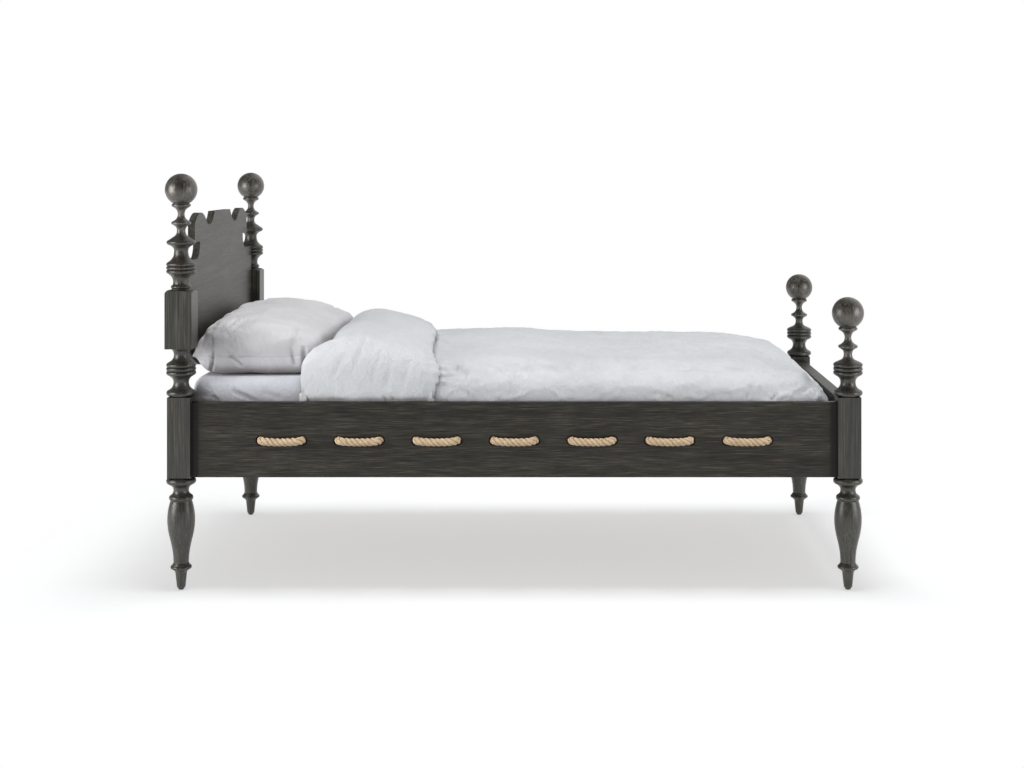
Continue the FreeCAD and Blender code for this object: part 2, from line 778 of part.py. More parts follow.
def make_slats():
    screws = []
    for index, start in enumerate(slat_screw_starts()):
        starts = [start, V(start.x, -start.y, start.z)]
        slat = box((start.x - slat_width / 2, start.x + slat_width / 2), (-slat_reach_y, slat_reach_y),
                   (cleat_top, slat_top_height))
        slat = slat.cut(countersinks(starts, V(0, 0, -1), slat_screw_length))
        save(slat, "slat_%02d" % (index + 1))
        screws += [screw(at, V(0, 0, -1), slat_screw_length, screw_head_radius) for at in starts]
    save(Part.makeCompound(screws), "slat_screws")


def bent_wire(points, radii):
    """Straight runs joined by tangent arcs: a radius for every point between the ends."""
    edges = []
    at = points[0]
    for before, corner, after, radius in zip(points, points[1:], points[2:], radii):
        back = (before - corner).normalize()
        ahead = (after - corner).normalize()
        half_turn = (math.pi - back.getAngle(ahead)) / 2
        start = corner + back * (radius * math.tan(half_turn))
        end = corner + ahead * (radius * math.tan(half_turn))
        inward = (back + ahead).normalize()
        middle = corner + inward * (radius / math.cos(half_turn) - radius)
        edges += [line(at, start), arc(start, middle, end)]
        at = end
    edges.append(line(at, points[-1]))
    return Part.Wire(edges)


def rope_tail_ends():
    """The near rope's two free ends, on the rail's inner face."""
    stretches = rope_places()
    y = -rail_inner_y + rope_stand_off
    return [V(stretches[0][0] - rope_tail, y, rope_height), V(stretches[-1][1] + rope_tail, y, rope_height)]


def rope_route():
    """The near rope: in and out through the rail, each outer stretch hanging a little slack."""
    y_out = -rail_outer_y - rope_stand_off
    y_in = -rail_inner_y + rope_stand_off
    first_end, last_end = rope_tail_ends()
    points = [first_end]
    radii = []
    corner_reach = rope_bend_radius / (rope_stretch / 2)
    free_share = 1 - corner_reach
    slope = math.atan2(rope_sag, rope_stretch / 2)
    slack_radius = rope_stretch / 2 * free_share * rope_slack_share / math.tan(slope)
    for x_head, x_foot in rope_places():
        points += [V(x_head, y_in, rope_height), V(x_head, y_out, rope_height),
                   V((x_head + x_foot) / 2, y_out, rope_height - rope_sag),
                   V(x_foot, y_out, rope_height), V(x_foot, y_in, rope_height)]
        radii += [rope_bend_radius, rope_bend_radius, slack_radius, rope_bend_radius, rope_bend_radius]
    points.append(last_end)
    return bent_wire(points, radii)


def clip_places():
    head_end, foot_end = rope_tail_ends()
    return [V(head_end.x + clip_tail_setback, -rail_inner_y, rope_height),
            V(foot_end.x - clip_tail_setback, -rail_inner_y, rope_height)]


def clip_screw_starts():
    """Places of the clip screws on the clips' feet."""
    reach = clip_outer + clip_foot / 2
    starts = []
    for at in clip_places():
        for sign in (-1, 1):
            starts.append(at + V(0, clip_thickness, sign * reach))
    return starts


def clip_screw_ways():
    radius = clip_screw_radius + screw_clearance
    run = V(0, -clip_screw_length - screw_clearance, 0)
    return [cylinder(at, at + run, radius) for at in clip_screw_starts()]


def make_rope():
    route = rope_route()
    start = route.OrderedEdges[0]
    direction = start.tangentAt(start.FirstParameter)
    profile = Part.Wire(Part.makeCircle(rope_radius, route.OrderedVertexes[0].Point, direction))
    rope = route.makePipeShell([profile], True, False)
    print("rope volume over section times length", rope.Volume / (math.pi * rope_radius ** 2 * route.Length))
    sleeves = []
    for end, inward in zip(rope_tail_ends(), (1, -1)):
        tip = end + V(inward * whipping_length, 0, 0)
        bore = rope_radius + whipping_clearance
        far_tip = tip + V(inward * cut_overrun, 0, 0)
        sleeve = cylinder(end, tip, bore + whipping_thickness)
        sleeves.append(sleeve.cut(cylinder(end - V(inward * cut_overrun, 0, 0), far_tip, bore)))
    whipping = Part.makeCompound([trim_to_rail(sleeve) for sleeve in sleeves])
    for side in ("near", "far"):
        save(mirrored(rope, side), "rope_" + side)
        save(mirrored(whipping, side), "rope_whipping_" + side)


def trim_to_rail(sleeve):
    """Press a sleeve flat where it lies on the rail's inner face."""
    reach = sleeve.BoundBox
    wood = box((reach.XMin - cut_overrun, reach.XMax + cut_overrun),
               (reach.YMin - cut_overrun, -rail_inner_y),
               (reach.ZMin - cut_overrun, reach.ZMax + cut_overrun))
    return sleeve.cut(wood)


def make_clips():
    """Saddle clips that hold the rope's ends to the rail's inner face, and their screws."""
    outer = clip_outer
    centre_y = -rail_inner_y + rope_stand_off
    screws = []
    for at in clip_screw_starts():
        shank = cylinder(at, at + V(0, -clip_screw_length, 0), clip_screw_radius)
        head = cylinder(at, at + V(0, clip_screw_head_rise, 0), clip_screw_head_radius)
        screws.append(shank.fuse(head))
    for name, at in zip(("head", "foot"), clip_places()):
        x_span = (at.x - clip_width / 2, at.x + clip_width / 2)
        hood = cylinder(V(x_span[0], centre_y, at.z), V(x_span[1], centre_y, at.z), outer)
        hood = hood.fuse(box(x_span, (at.y, centre_y), (at.z - outer, at.z + outer)))
        foot_reach = outer + clip_foot
        feet = box(x_span, (at.y, at.y + clip_thickness), (at.z - foot_reach, at.z + foot_reach))
        long_span = (x_span[0] - cut_overrun, x_span[1] + cut_overrun)
        hollow = cylinder(V(long_span[0], centre_y, at.z), V(long_span[1], centre_y, at.z), clip_bore)
        throat = box(long_span, (at.y - cut_overrun, centre_y), (at.z - clip_bore, at.z + clip_bore))
        below = box(long_span, (at.y - outer, at.y), (at.z - 2 * outer, at.z + 2 * outer))
        clip = hood.fuse(feet).cut([hollow, throat, below])
        clip = clip.cut([cylinder(start + V(0, cut_overrun, 0), start - V(0, cut_overrun, 0),
                                  clip_screw_radius + screw_clearance) for start in clip_screw_starts()])
        for side in ("near", "far"):
            save(mirrored(clip, side), "rope_clip_" + name + "_" + side)
    save(Part.makeCompound(screws + [mirrored(one, "far") for one in screws]), "rope_clip_screws")


def rounded_block(grow):
    """The mattress's shape, grown on every side: rounded corners first, then the edges of its two faces."""
    x_span = (mattress_head_x - grow, mattress_head_x + mattress_length + grow)
    half = mattress_width / 2 + grow
    block = box(x_span, (-half, half), (mattress_bottom - grow, mattress_top + grow))
    upright = [edge for edge in block.Edges if abs(edge.tangentAt(edge.FirstParameter).z) > half_share]
    block = block.makeFillet(mattress_corner_radius + grow, upright)
    level = [edge for edge in block.Edges if edge.BoundBox.ZLength < cut_overrun]
    return block.makeFillet(mattress_edge_radius + grow, level)


def make_mattress():
    save(rounded_block(0), "mattress")
    shell = rounded_block(sheet_reach).cut(rounded_block(sheet_clearance))
    under = sheet_turn_under
    x_span = (mattress_head_x + under, mattress_head_x + mattress_length - under)
    half = mattress_width / 2 - under
    opening = box(x_span, (-half, half), (mattress_bottom - cut_overrun, mattress_bottom + cut_overrun))
    save(shell.cut(opening), "fitted_sheet")


def pillow_section(place_share, plump_share):
    """One slice across the pillow: flat underneath, crowned on top, drawn to a seam at each end."""
    y = place_share * pillow_width / 2
    base = sheet_top + rest_clearance
    seam = base + pillow_seam_height
    edge = pillow_seam_thickness / 2
    up = edge + (pillow_rise - pillow_seam_height - edge) * plump_share
    down = edge + (pillow_seam_height - edge) * min(1, 2 * plump_share)
    half = pillow_length / 2 - pillow_draw_in * plump_share
    middle_x = pillow_head_x + pillow_length / 2
    shoulder_x = half - edge - (half * (1 - pillow_top_share) - edge) * plump_share
    head_shoulder_z = seam + up * (1 - pillow_top_drop_share)
    foot_shoulder_z = seam + up * (1 - pillow_foot_drop_share)
    foot_x = half - edge - (half * (1 - pillow_foot_share) - edge) * plump_share
    foot_z = seam - down
    corners = {
        "head_foot": V(middle_x - foot_x, y, foot_z), "head_seam": V(middle_x - half, y, seam),
        "head_top": V(middle_x - shoulder_x, y, head_shoulder_z), "crown": V(middle_x, y, seam + up),
        "foot_top": V(middle_x + shoulder_x, y, foot_shoulder_z), "foot_seam": V(middle_x + half, y, seam),
        "foot_foot": V(middle_x + foot_x, y, foot_z),
    }
    return Part.Wire([
        arc(corners["head_foot"], corners["head_seam"], corners["head_top"]),
        arc(corners["head_top"], corners["crown"], corners["foot_top"]),
        arc(corners["foot_top"], corners["foot_seam"], corners["foot_foot"]),
        line(corners["foot_foot"], corners["head_foot"]),
    ])


def make_pillow():
    """Slices bunch towards the two seams, where the pillow swells fastest."""
    sections = []
    for index in range(pillow_stations + 1):
        place = -math.cos(math.pi * index / pillow_stations)
        plump = (1 - abs(place) ** pillow_side_power) ** (1 / pillow_plump_power)
        sections.append(pillow_section(place, plump))
    save(Part.makeLoft(sections, True, True), "pillow")


def upright_arc(start, end):
    """An arc in a slice across the bed that leaves its start straight up."""
    across = end.y - start.y
    rise = end.z - start.z
    radius = (across ** 2 + rise ** 2) / (2 * across)
    centre = V(start.x, start.y + radius, start.z)
    middle = ((start - centre) + (end - centre)).normalize() * abs(radius)
    return arc(start, centre + middle, end)


def duvet_section(x, rise, half, fall):
    """One slice across the duvet: tucked sides, rounded shoulders and a crowned top, flatter as it falls."""
    top = sheet_top + rise
    full_share = 1 - duvet_foot_flatten_share * fall
    shoulder = V(x, -half + duvet_shoulder_inset * full_share, top - duvet_crown_drop * full_share)
    knee = V(x, -half, shoulder.z - duvet_shoulder_drop * full_share)
    tuck = V(x, -half, duvet_tuck_height)
    far_shoulder, far_knee, far_tuck = [V(x, -one.y, one.z) for one in (shoulder, knee, tuck)]
    return Part.Wire([
        line(tuck, knee), upright_arc(knee, shoulder),
        arc(shoulder, V(x, 0, top), far_shoulder),
        upright_arc(far_knee, far_shoulder), line(far_knee, far_tuck), line(far_tuck, tuck),
    ])


def fold_rise(along):
    """Height of the turned-back fold above the sheet: a rounded front, then a slow fall to its hem."""
    front = duvet_fold_front_rise
    if along < duvet_fold_peak_share:
        back = 1 - along / duvet_fold_peak_share
        return front + (duvet_fold_rise - front) * math.sqrt(1 - back ** 2)
    past = (along - duvet_fold_peak_share) / (1 - duvet_fold_peak_share)
    return duvet_fold_rise - duvet_fold_hem_drop * past ** 2


def main_fall(along):
    """How far along its fall to the foot the duvet's top is, from none to whole."""
    past = max(0, along - duvet_foot_start_share) / (1 - duvet_foot_start_share)
    return past ** duvet_fall_power


def make_duvet():
    half = rail_inner_y - duvet_side_clearance
    fold = []
    for index in range(duvet_fold_stations + 1):
        along = index / duvet_fold_stations
        fold.append(duvet_section(duvet_head_x + duvet_fold_length * along, fold_rise(along), half, 0))
    main = []
    main_length = duvet_foot_x - duvet_fold_end_x
    for index in range(duvet_main_stations + 1):
        along = index / duvet_main_stations
        fall = main_fall(along)
        rise = duvet_main_rise - duvet_foot_drop * fall
        x = duvet_fold_end_x + main_length * along
        main.append(duvet_section(x, rise, half - duvet_foot_inset * fall, fall))
    cover = Part.makeLoft(fold, True, False).fuse(Part.makeLoft(main, True, False))
    save(cover.cut(rounded_block(sheet_reach + duvet_clearance)), "duvet")


make_posts()
make_side_rails()
make_end_rails()
make_bed_bolts()
make_headboard()
make_cleats()
make_slats()
make_rope()
make_clips()
make_mattress()
make_pillow()
make_duvet()
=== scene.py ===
import math

import bpy
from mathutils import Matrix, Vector, noise


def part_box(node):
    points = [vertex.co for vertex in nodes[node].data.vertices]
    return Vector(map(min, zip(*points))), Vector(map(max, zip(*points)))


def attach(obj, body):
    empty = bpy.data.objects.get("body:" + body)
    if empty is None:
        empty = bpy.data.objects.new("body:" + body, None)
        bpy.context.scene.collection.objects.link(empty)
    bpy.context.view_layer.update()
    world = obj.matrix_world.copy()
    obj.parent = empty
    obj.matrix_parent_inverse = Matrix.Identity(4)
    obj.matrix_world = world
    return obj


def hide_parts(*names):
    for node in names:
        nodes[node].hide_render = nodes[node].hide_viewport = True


# A single bed of dark turned posts and rope-laced rails, dressed with white bedding. Metres.
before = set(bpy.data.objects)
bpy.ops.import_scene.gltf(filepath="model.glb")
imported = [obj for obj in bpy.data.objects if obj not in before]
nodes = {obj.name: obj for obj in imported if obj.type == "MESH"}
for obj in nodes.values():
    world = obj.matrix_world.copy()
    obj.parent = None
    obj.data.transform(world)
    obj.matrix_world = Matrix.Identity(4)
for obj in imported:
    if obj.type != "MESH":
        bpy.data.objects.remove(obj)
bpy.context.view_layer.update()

# Camera: the photograph's vanishing point and focal length in its pixels
image_width = 1024.0
image_height = 768.0
vanishing_x = 573.0
vanishing_y = 168.5
focal_pixels = 1624.5
sensor_millimetres = 36.0
camera_place = Vector((0.178, -5.486, 1.282))

# Stage and light
floor_half = 14.0
floor_glow = 0.53
floor_clear_x = (1.20, 1.90)
floor_clear_y = (0.80, 1.40)
floor_colour = (0.785, 0.80, 0.815, 1.0)
world_light = 0.28
front_sheen = 0.10
back_sheen = 1.0
edge_sheen = 0.22
sheen_across = (-0.10, 0.22)
sheen_behind = (-0.25, 0.45)
shadow_lamp = "top_box"
lamps = (
    ("left_box", (-3.4, -1.9, 1.25), (-0.5, -0.3, 0.75), (1.4, 1.8), 68.0, True),
    ("right_box", (3.5, -1.9, 1.25), (0.5, -0.3, 0.75), (1.4, 1.8), 45.0, True),
    ("top_box", (0.1, -0.3, 6.0), (0.0, 0.0, 0.4), (2.0, 2.4), 146.0, False),
    ("front_fill", (0.2, -5.6, 2.0), (0.0, 0.0, 0.5), (3.0, 1.6), 34.0, False),
)

# Wood: grain axes, painted shade laid in a groove by how near other wood stands, noise scales per metre
# across and along the grain, and relief as strength and depth
along_x, along_y, along_z = 0, 1, 2
hollow_samples = 8
groove_reach = 0.012
groove_shade = ((0.30, 0.15), (0.90, 1.0))
groove_shade_share = 0.90
warm_sheen = (1.0, 0.94, 0.88, 1.0)
post_sheen = (1.0, 0.985, 0.93, 1.0)
# Painted shade on the rails where the rope and other parts stand near, and a painted shadow on each rail
# beside the posts: distances from its end over which it fades, and its tone
rail_reach = 0.020
rail_shade = ((0.20, 0.20), (0.78, 1.0))
rail_end_shadow_band = (0.017, 0.026)
rail_end_shadow_tone = 0.10
fibre_stretch_share = 0.022
pore_shares = (1.9, 0.045)
pore_stops = ((0.36, 0.20), (0.47, 1.0))
pore_dark_share = 0.70
pore_relief = (0.22, 0.0010)
fibre_relief = (0.18, 0.0014)
figure_scales = (26.0, 1.8)
patch_scales = (105.0, 6.0)
grain_shares = (0.78, 0.22)
worn_stops = (0.50, 0.70)
black_stain = ((0.38, (0.0035, 0.0042, 0.0036, 1.0)), (0.64, (0.105, 0.102, 0.082, 1.0)),
               (0.50, (0.027, 0.0275, 0.0220, 1.0)))
brown_stain = ((0.38, (0.012, 0.009, 0.006, 1.0)), (0.64, (0.270, 0.180, 0.100, 1.0)),
               (0.51, (0.062, 0.044, 0.028, 1.0)))
wood_rough = ((0.36, 0.36), (0.64, 0.48))
dull_share = 0.45
shine_gain_share = 0.55
coat_share = 0.8

# Each dark wood's streaks per metre, tone, worn share and shine share
post_wood = (260.0, 0.74, 0.85, 0.5)
ball_wood = (230.0, 1.20, 1.0, 0.95)
rail_wood = (480.0, 0.84, 0.40, 0.0)
plank_wood = (420.0, 1.35, 0.25, 0.0)
end_wood = (480.0, 0.90, 0.40, 0.0)

# Other surfaces: noise scales per metre, the share of each noise in the tone, relief and colours
pine_ring_scales = (42.0, 0.9)
pine_fibre_scales = (260.0, 6.0)
pine_shares = (0.65, 0.35)
pine_relief = (0.2, 0.0008)
pine_stops = ((0.35, (0.40, 0.24, 0.12, 1.0)), (0.68, (0.70, 0.52, 0.32, 1.0)),
              (0.50, (0.60, 0.42, 0.24, 1.0)))
steel_scale = 90.0
steel_stops = ((0.35, (0.42, 0.42, 0.41, 1.0)), (0.68, (0.66, 0.66, 0.64, 1.0)))
steel_rough = ((0.3, 0.26), (0.7, 0.44))
yarn_scales = (420.0, 5.0, 1.0)
yarn_lean = (0.0, 0.0, 0.012)
hair_scale = 900.0
rope_cloud_scale = 35.0
rope_shares = (0.4, 0.25, 0.35)
# Painted shade between the rope's strands: its share and its tone by occlusion
rope_shade_share = 0.9
rope_shade = ((0.30, (0.30, 0.19, 0.11, 1.0)), (0.85, (1.0, 1.0, 1.0, 1.0)))
rope_relief = (0.35, 0.0012)
rope_colours = ((0.34, (0.50, 0.335, 0.19, 1.0)), (0.60, (0.86, 0.665, 0.45, 1.0)))
twine_scale = 150.0
twine_stops = ((0.2, (0.30, 0.22, 0.13, 1.0)), (0.8, (0.66, 0.54, 0.38, 1.0)))
twine_relief = (0.6, 0.0012)
weave_scale = 1500.0
weave_share = 0.12
crumple_scales = (30.0, 22.0, 22.0)
crinkle_scales = (85.0, 62.0, 62.0)
cotton_cloud_scale = 5.0
cotton_shares = (0.7, 0.3)
cotton_stops = (0.35, 0.65)
# Share of painted shade in the cotton's creases and where other cloth stands near
cotton_shade_share = 0.85
crumple_relief = (0.45, 0.010)
crinkle_depth = 0.006
thread_relief = (0.16, 0.0005)
plain_crinkle = 0.3
duvet_crinkle = 0.55
sheet_colours = ((0.61, 0.62, 0.675, 1.0), (0.70, 0.71, 0.76, 1.0))
pillow_colours = ((0.77, 0.765, 0.785, 1.0), (0.86, 0.85, 0.87, 1.0))
duvet_colours = ((0.715, 0.735, 0.76, 1.0), (0.80, 0.82, 0.84, 1.0))
stripe_scale = 9.0
stripe_stops = ((0.90, (0.74, 0.71, 0.64, 1.0)), (0.94, (0.44, 0.46, 0.50, 1.0)))
ticking_scale = 1400.0
ticking_relief = (0.25, 0.0006)

# Rope, as in the frame
rope_radius = 0.012
rope_lay_gap = 0.0005
rope_sag = 0.004
rope_stretch = 0.127
rope_stretch_count = 7
rope_end_margin = 0.2095
rope_slat_gap = 0.0062
rope_tail = 0.092
rope_lay_length = 0.048
strand_count = 3
strand_radius = 0.0061
strand_bite_share = 0.95
strand_sides = 10
strand_step = 0.003
strand_swell_share = 0.05
strand_swell_scale = 160.0
route_steps = 16
slack_share = 0.22
cleat_end_gap = 0.012

# Mattress and fitted sheet
corner_radius = 0.060
edge_radius = 0.036
sheet_turn_under = 0.090
sheet_slack = 0.013
mattress_slack = Vector((0.002, 0.002, 0.002))
mattress_step = 0.014
sheet_step = 0.005
inset_step = 0.030
corner_steps = 6
edge_steps = 6
middle_gap = 0.006
least_radius = 0.002
tuft_levels = (0.080, 0.098)
tuft_scale = 42.0
tuft_depth = 0.004
loose_along = (0.35, 0.50)
loose_drop = (0.15, 0.19)
gather_drop = (0.165, 0.198)
gather_scale = 190.0
gather_depth = 0.0010
ripple_scales = (6.0, 11.0)
ripple_slice = 3.0
ripple_drop = 0.02
ripple_height = 0.0016
side_reaches = (0.90, 0.45)

# Cloth simulation: pressure, stiffness, bending and shrink of each piece
cloth_quality = 6
cloth_mass = 0.25
cloth_air_damping = 2.0
cloth_shear_share = 0.4
pillow_cloth = (1.2, 8.0, 0.06, -0.09)
duvet_cloth = (1.2, 9.0, 0.14, -0.08)

# Creases, each from one pixel of the photograph to another, with its depth and its width in pixels
crease_limit = 7.0
crease_lip_share = 1.1
crease_end_power = 4
# Painted shade in creases and where other cloth stands near: its reach, a longer reach for the pillow and
# sheet, and its tone
crease_shade_reach = 0.020
pillow_shade_reach = 0.042
crease_shade = ((0.45, (0.50, 0.47, 0.46, 1.0)), (0.93, (1.0, 1.0, 1.0, 1.0)))
sheet_creases = (
    (203.0, 390.0, 212.0, 404.0, 0.0045, 1.6),
    (209.5, 390.5, 223.0, 404.0, 0.006, 1.7),
    (233.0, 389.5, 260.0, 402.0, 0.009, 2.5),
    (262.0, 391.5, 284.0, 398.0, 0.003, 3.0),
)
pillow_creases = (
    (210.8, 336.0, 213.4, 353.0, 0.006, 1.9),
    (213.4, 350.0, 211.4, 372.0, 0.009, 2.3),
    (225.5, 352.0, 243.5, 367.0, 0.007, 2.4),
    (290.5, 347.0, 295.5, 366.0, 0.006, 2.2),
    (304.0, 346.0, 304.5, 368.0, 0.008, 3.0),
    (249.0, 318.0, 225.0, 337.0, 0.0045, 2.0),
    (238.0, 318.0, 217.0, 337.0, 0.0045, 1.9),
    (206.0, 331.0, 201.5, 349.0, 0.0035, 1.8),
    (297.5, 322.0, 293.5, 345.0, 0.005, 3.0),
    (273.0, 326.0, 262.0, 343.0, 0.0032, 2.4),
    (262.0, 325.0, 251.0, 341.0, 0.0032, 2.2),
    (224.0, 325.0, 207.0, 347.0, 0.0036, 2.0),
)
fold_creases = (
    (366.0, 336.0, 355.0, 366.0, 0.0030, 3.4),
    (383.0, 349.0, 372.0, 378.0, 0.0028, 3.2),
    (394.0, 355.0, 384.5, 391.0, 0.0032, 3.4),
    (347.0, 351.0, 333.0, 378.0, 0.0028, 3.6),
    (411.0, 352.0, 404.0, 384.0, 0.0026, 3.6),
    (424.0, 345.0, 431.0, 372.0, 0.0022, 3.0),
    (382.5, 395.0, 386.5, 402.0, 0.0045, 2.2),
    (390.0, 394.0, 394.0, 402.0, 0.0045, 2.2),
)
duvet_creases = (
    (753.0, 384.5, 745.0, 399.0, 0.004, 2.4),
    (762.5, 386.0, 751.0, 400.0, 0.004, 2.4),
    (776.5, 394.0, 770.5, 401.0, 0.006, 2.4),
    (790.5, 395.5, 777.5, 401.5, 0.005, 2.4),
    (812.0, 386.0, 800.5, 393.5, 0.003, 2.8),
    (665.0, 392.5, 652.0, 394.5, 0.003, 2.4),
    (673.0, 396.5, 660.0, 398.5, 0.004, 2.4),
    (459.0, 365.5, 453.0, 377.5, 0.003, 2.4),
    (468.5, 368.5, 465.5, 383.0, 0.003, 2.6),
    (478.0, 350.5, 476.5, 368.0, 0.002, 3.0),
)

# Pillow
pillow_cells = (52, 100)
pillow_frames = 24
pillow_cap = 0.016
pillow_seam_rise = 0.058
pillow_head_power = 12.0
pillow_under_power = 4.0
pillow_under_end_power = 9.0
pillow_foot_slope = 0.48
pillow_foot_power = 24
pillow_end_power = 40
pillow_crease = 0.0030
pillow_seam_sink = 0.003
pillow_lean = 0.020
pillow_crumple = 0.004
pillow_puff = 0.017
pillow_end_round = 0.42
pillow_side_round = 0.4545
pillow_foot_ease = 0.1
pillow_ear_power = 24
pillow_ear_fade = (-0.2, 0.2)
pillow_ear_shares = (0.04, 0.03)
pillow_draw_share = 0.04
pillow_draw_power = 6
pillow_waist_share = 0.03
pillow_under_share = 0.80
pillow_calm_share = 0.9
pillow_calm_band = (0.20, 0.60)
pillow_crumple_scales = (14.0, 9.0)
pillow_rest_gap = 0.0005
pillow_aspect_share = 0.5
pillow_wander_scale = 13.0
fan_folds = 9.0
fan_wander = 3.0
fan_reach_share = 0.12
fan_start_share = 0.03
fan_fade_share = 0.75
fan_fade_band = (0.45, 0.60)
seam_gather_step = 0.9
seam_gather_wander = 5.0
seam_gather_reach_share = 0.018
seam_gather_share = 0.35
pillow_ridge_scales = (9.0, 5.0, 9.0)
pillow_ridge_sharpness = 4.0
pillow_ridge = 0.0022

# Duvet: its path from head to foot as X, rise over the sheet, side reach, and the drops of its crown and
# shoulders with the shoulders' width
duvet_path = (
    (-0.588, 0.003, 0.510, 0.000, 0.030, 0.034),
    (-0.602, 0.022, 0.516, 0.003, 0.050, 0.050),
    (-0.606, 0.056, 0.524, 0.008, 0.080, 0.070),
    (-0.590, 0.106, 0.529, 0.014, 0.100, 0.085),
    (-0.553, 0.132, 0.531, 0.020, 0.112, 0.095),
    (-0.503, 0.144, 0.532, 0.024, 0.120, 0.102),
    (-0.435, 0.140, 0.532, 0.025, 0.126, 0.108),
    (-0.345, 0.123, 0.532, 0.026, 0.130, 0.112),
    (-0.285, 0.111, 0.531, 0.027, 0.132, 0.112),
    (-0.252, 0.097, 0.528, 0.027, 0.132, 0.110),
    (-0.256, 0.080, 0.522, 0.027, 0.134, 0.110),
    (-0.274, 0.075, 0.518, 0.027, 0.136, 0.110),
    (-0.244, 0.077, 0.518, 0.027, 0.140, 0.112),
    (-0.180, 0.072, 0.517, 0.027, 0.146, 0.116),
    (0.000, 0.071, 0.516, 0.028, 0.154, 0.120),
    (0.250, 0.058, 0.516, 0.028, 0.156, 0.120),
    (0.500, 0.058, 0.516, 0.028, 0.156, 0.118),
    (0.680, 0.055, 0.516, 0.025, 0.150, 0.110),
    (0.790, 0.037, 0.515, 0.021, 0.136, 0.096),
    (0.865, 0.024, 0.514, 0.015, 0.112, 0.070),
    (0.920, -0.010, 0.513, 0.009, 0.086, 0.046),
    (0.953, -0.048, 0.512, 0.005, 0.054, 0.026),
    (0.968, -0.094, 0.510, 0.003, 0.036, 0.014),
    (0.970, -0.136, 0.508, 0.002, 0.030, 0.008),
)
duvet_step = 0.0125
duvet_columns = 112
duvet_hem_index = 9
duvet_pucker = 0.0040
duvet_pucker_reach = 0.022
duvet_crease_index = 11
duvet_peak_index = 6
duvet_hem_turn = 0.085
duvet_hem_bulge = 0.022
duvet_hem_swell = 0.014
duvet_front_reach = 0.046
duvet_tuck_height = 0.494
duvet_fullness = 0.80
duvet_frames = 24
duvet_cap = 0.018
duvet_thickness = 0.009
duvet_clearance = 0.007
duvet_ridge = 0.0032
duvet_fine = 0.0024
duvet_soften = 5
duvet_least_gap = 0.002
duvet_waves = ((0.005, 4.0, 4.0, 1.0), (0.0022, 17.0, 15.0, 5.0))
duvet_pin_rows = 2
duvet_pin_columns = 3
duvet_room_share = 0.92
duvet_rail_reach = 0.519
duvet_rail_heights = (0.560, 0.590)
duvet_front_band = (0.40, 0.51)
duvet_hem_pivot = 0.52
duvet_bulge_shares = (0.76, 0.085)
duvet_swell_shares = (0.12, 0.30)
duvet_settle_shares = (0.55, 0.45, 0.85, 0.35)

# Spans of the duvet's path, counted in its rows above, over which a form comes or goes
front_span = (2.0, 4.5)
hem_span = (4.0, 8.0)
hem_end_span = (12.0, 14.0)
main_span = (11.5, 12.5)
foot_span = (17.5, 19.5)
lip_span = (7.2, 8.6)
lip_end_span = (12.0, 13.5)
crease_pin_span = 0.34

# Duvet's puckers, pleats and ridges: scales per metre, leans and shares
pucker_wander_scales = (12.0, 16.0, 2.0)
pucker_main_share = 1.6
pucker_scales = (230.0, 520.0)
pucker_wanders = (5.0, 6.0)
pucker_fine_share = 0.5
pucker_base_share = 0.7
pucker_heights = (0.590, 0.630)
pleat_height = 0.575
pleat_reach = 0.030
pleat_band = (0.47, 0.50)
pleat_scale = 21.0
pleat_lean = 6.0
pleat_slice = (4.0, 7.0)
pleat_depth = 0.006
ridge_scale = 15.0
ridge_leans = (6.0, 5.0)
ridge_wander = 0.8
ridge_sharpness = 5.0
ridge_shares = (0.35, 0.65)
fine_scale = 3.1
fine_shares = (0.3, 0.7)


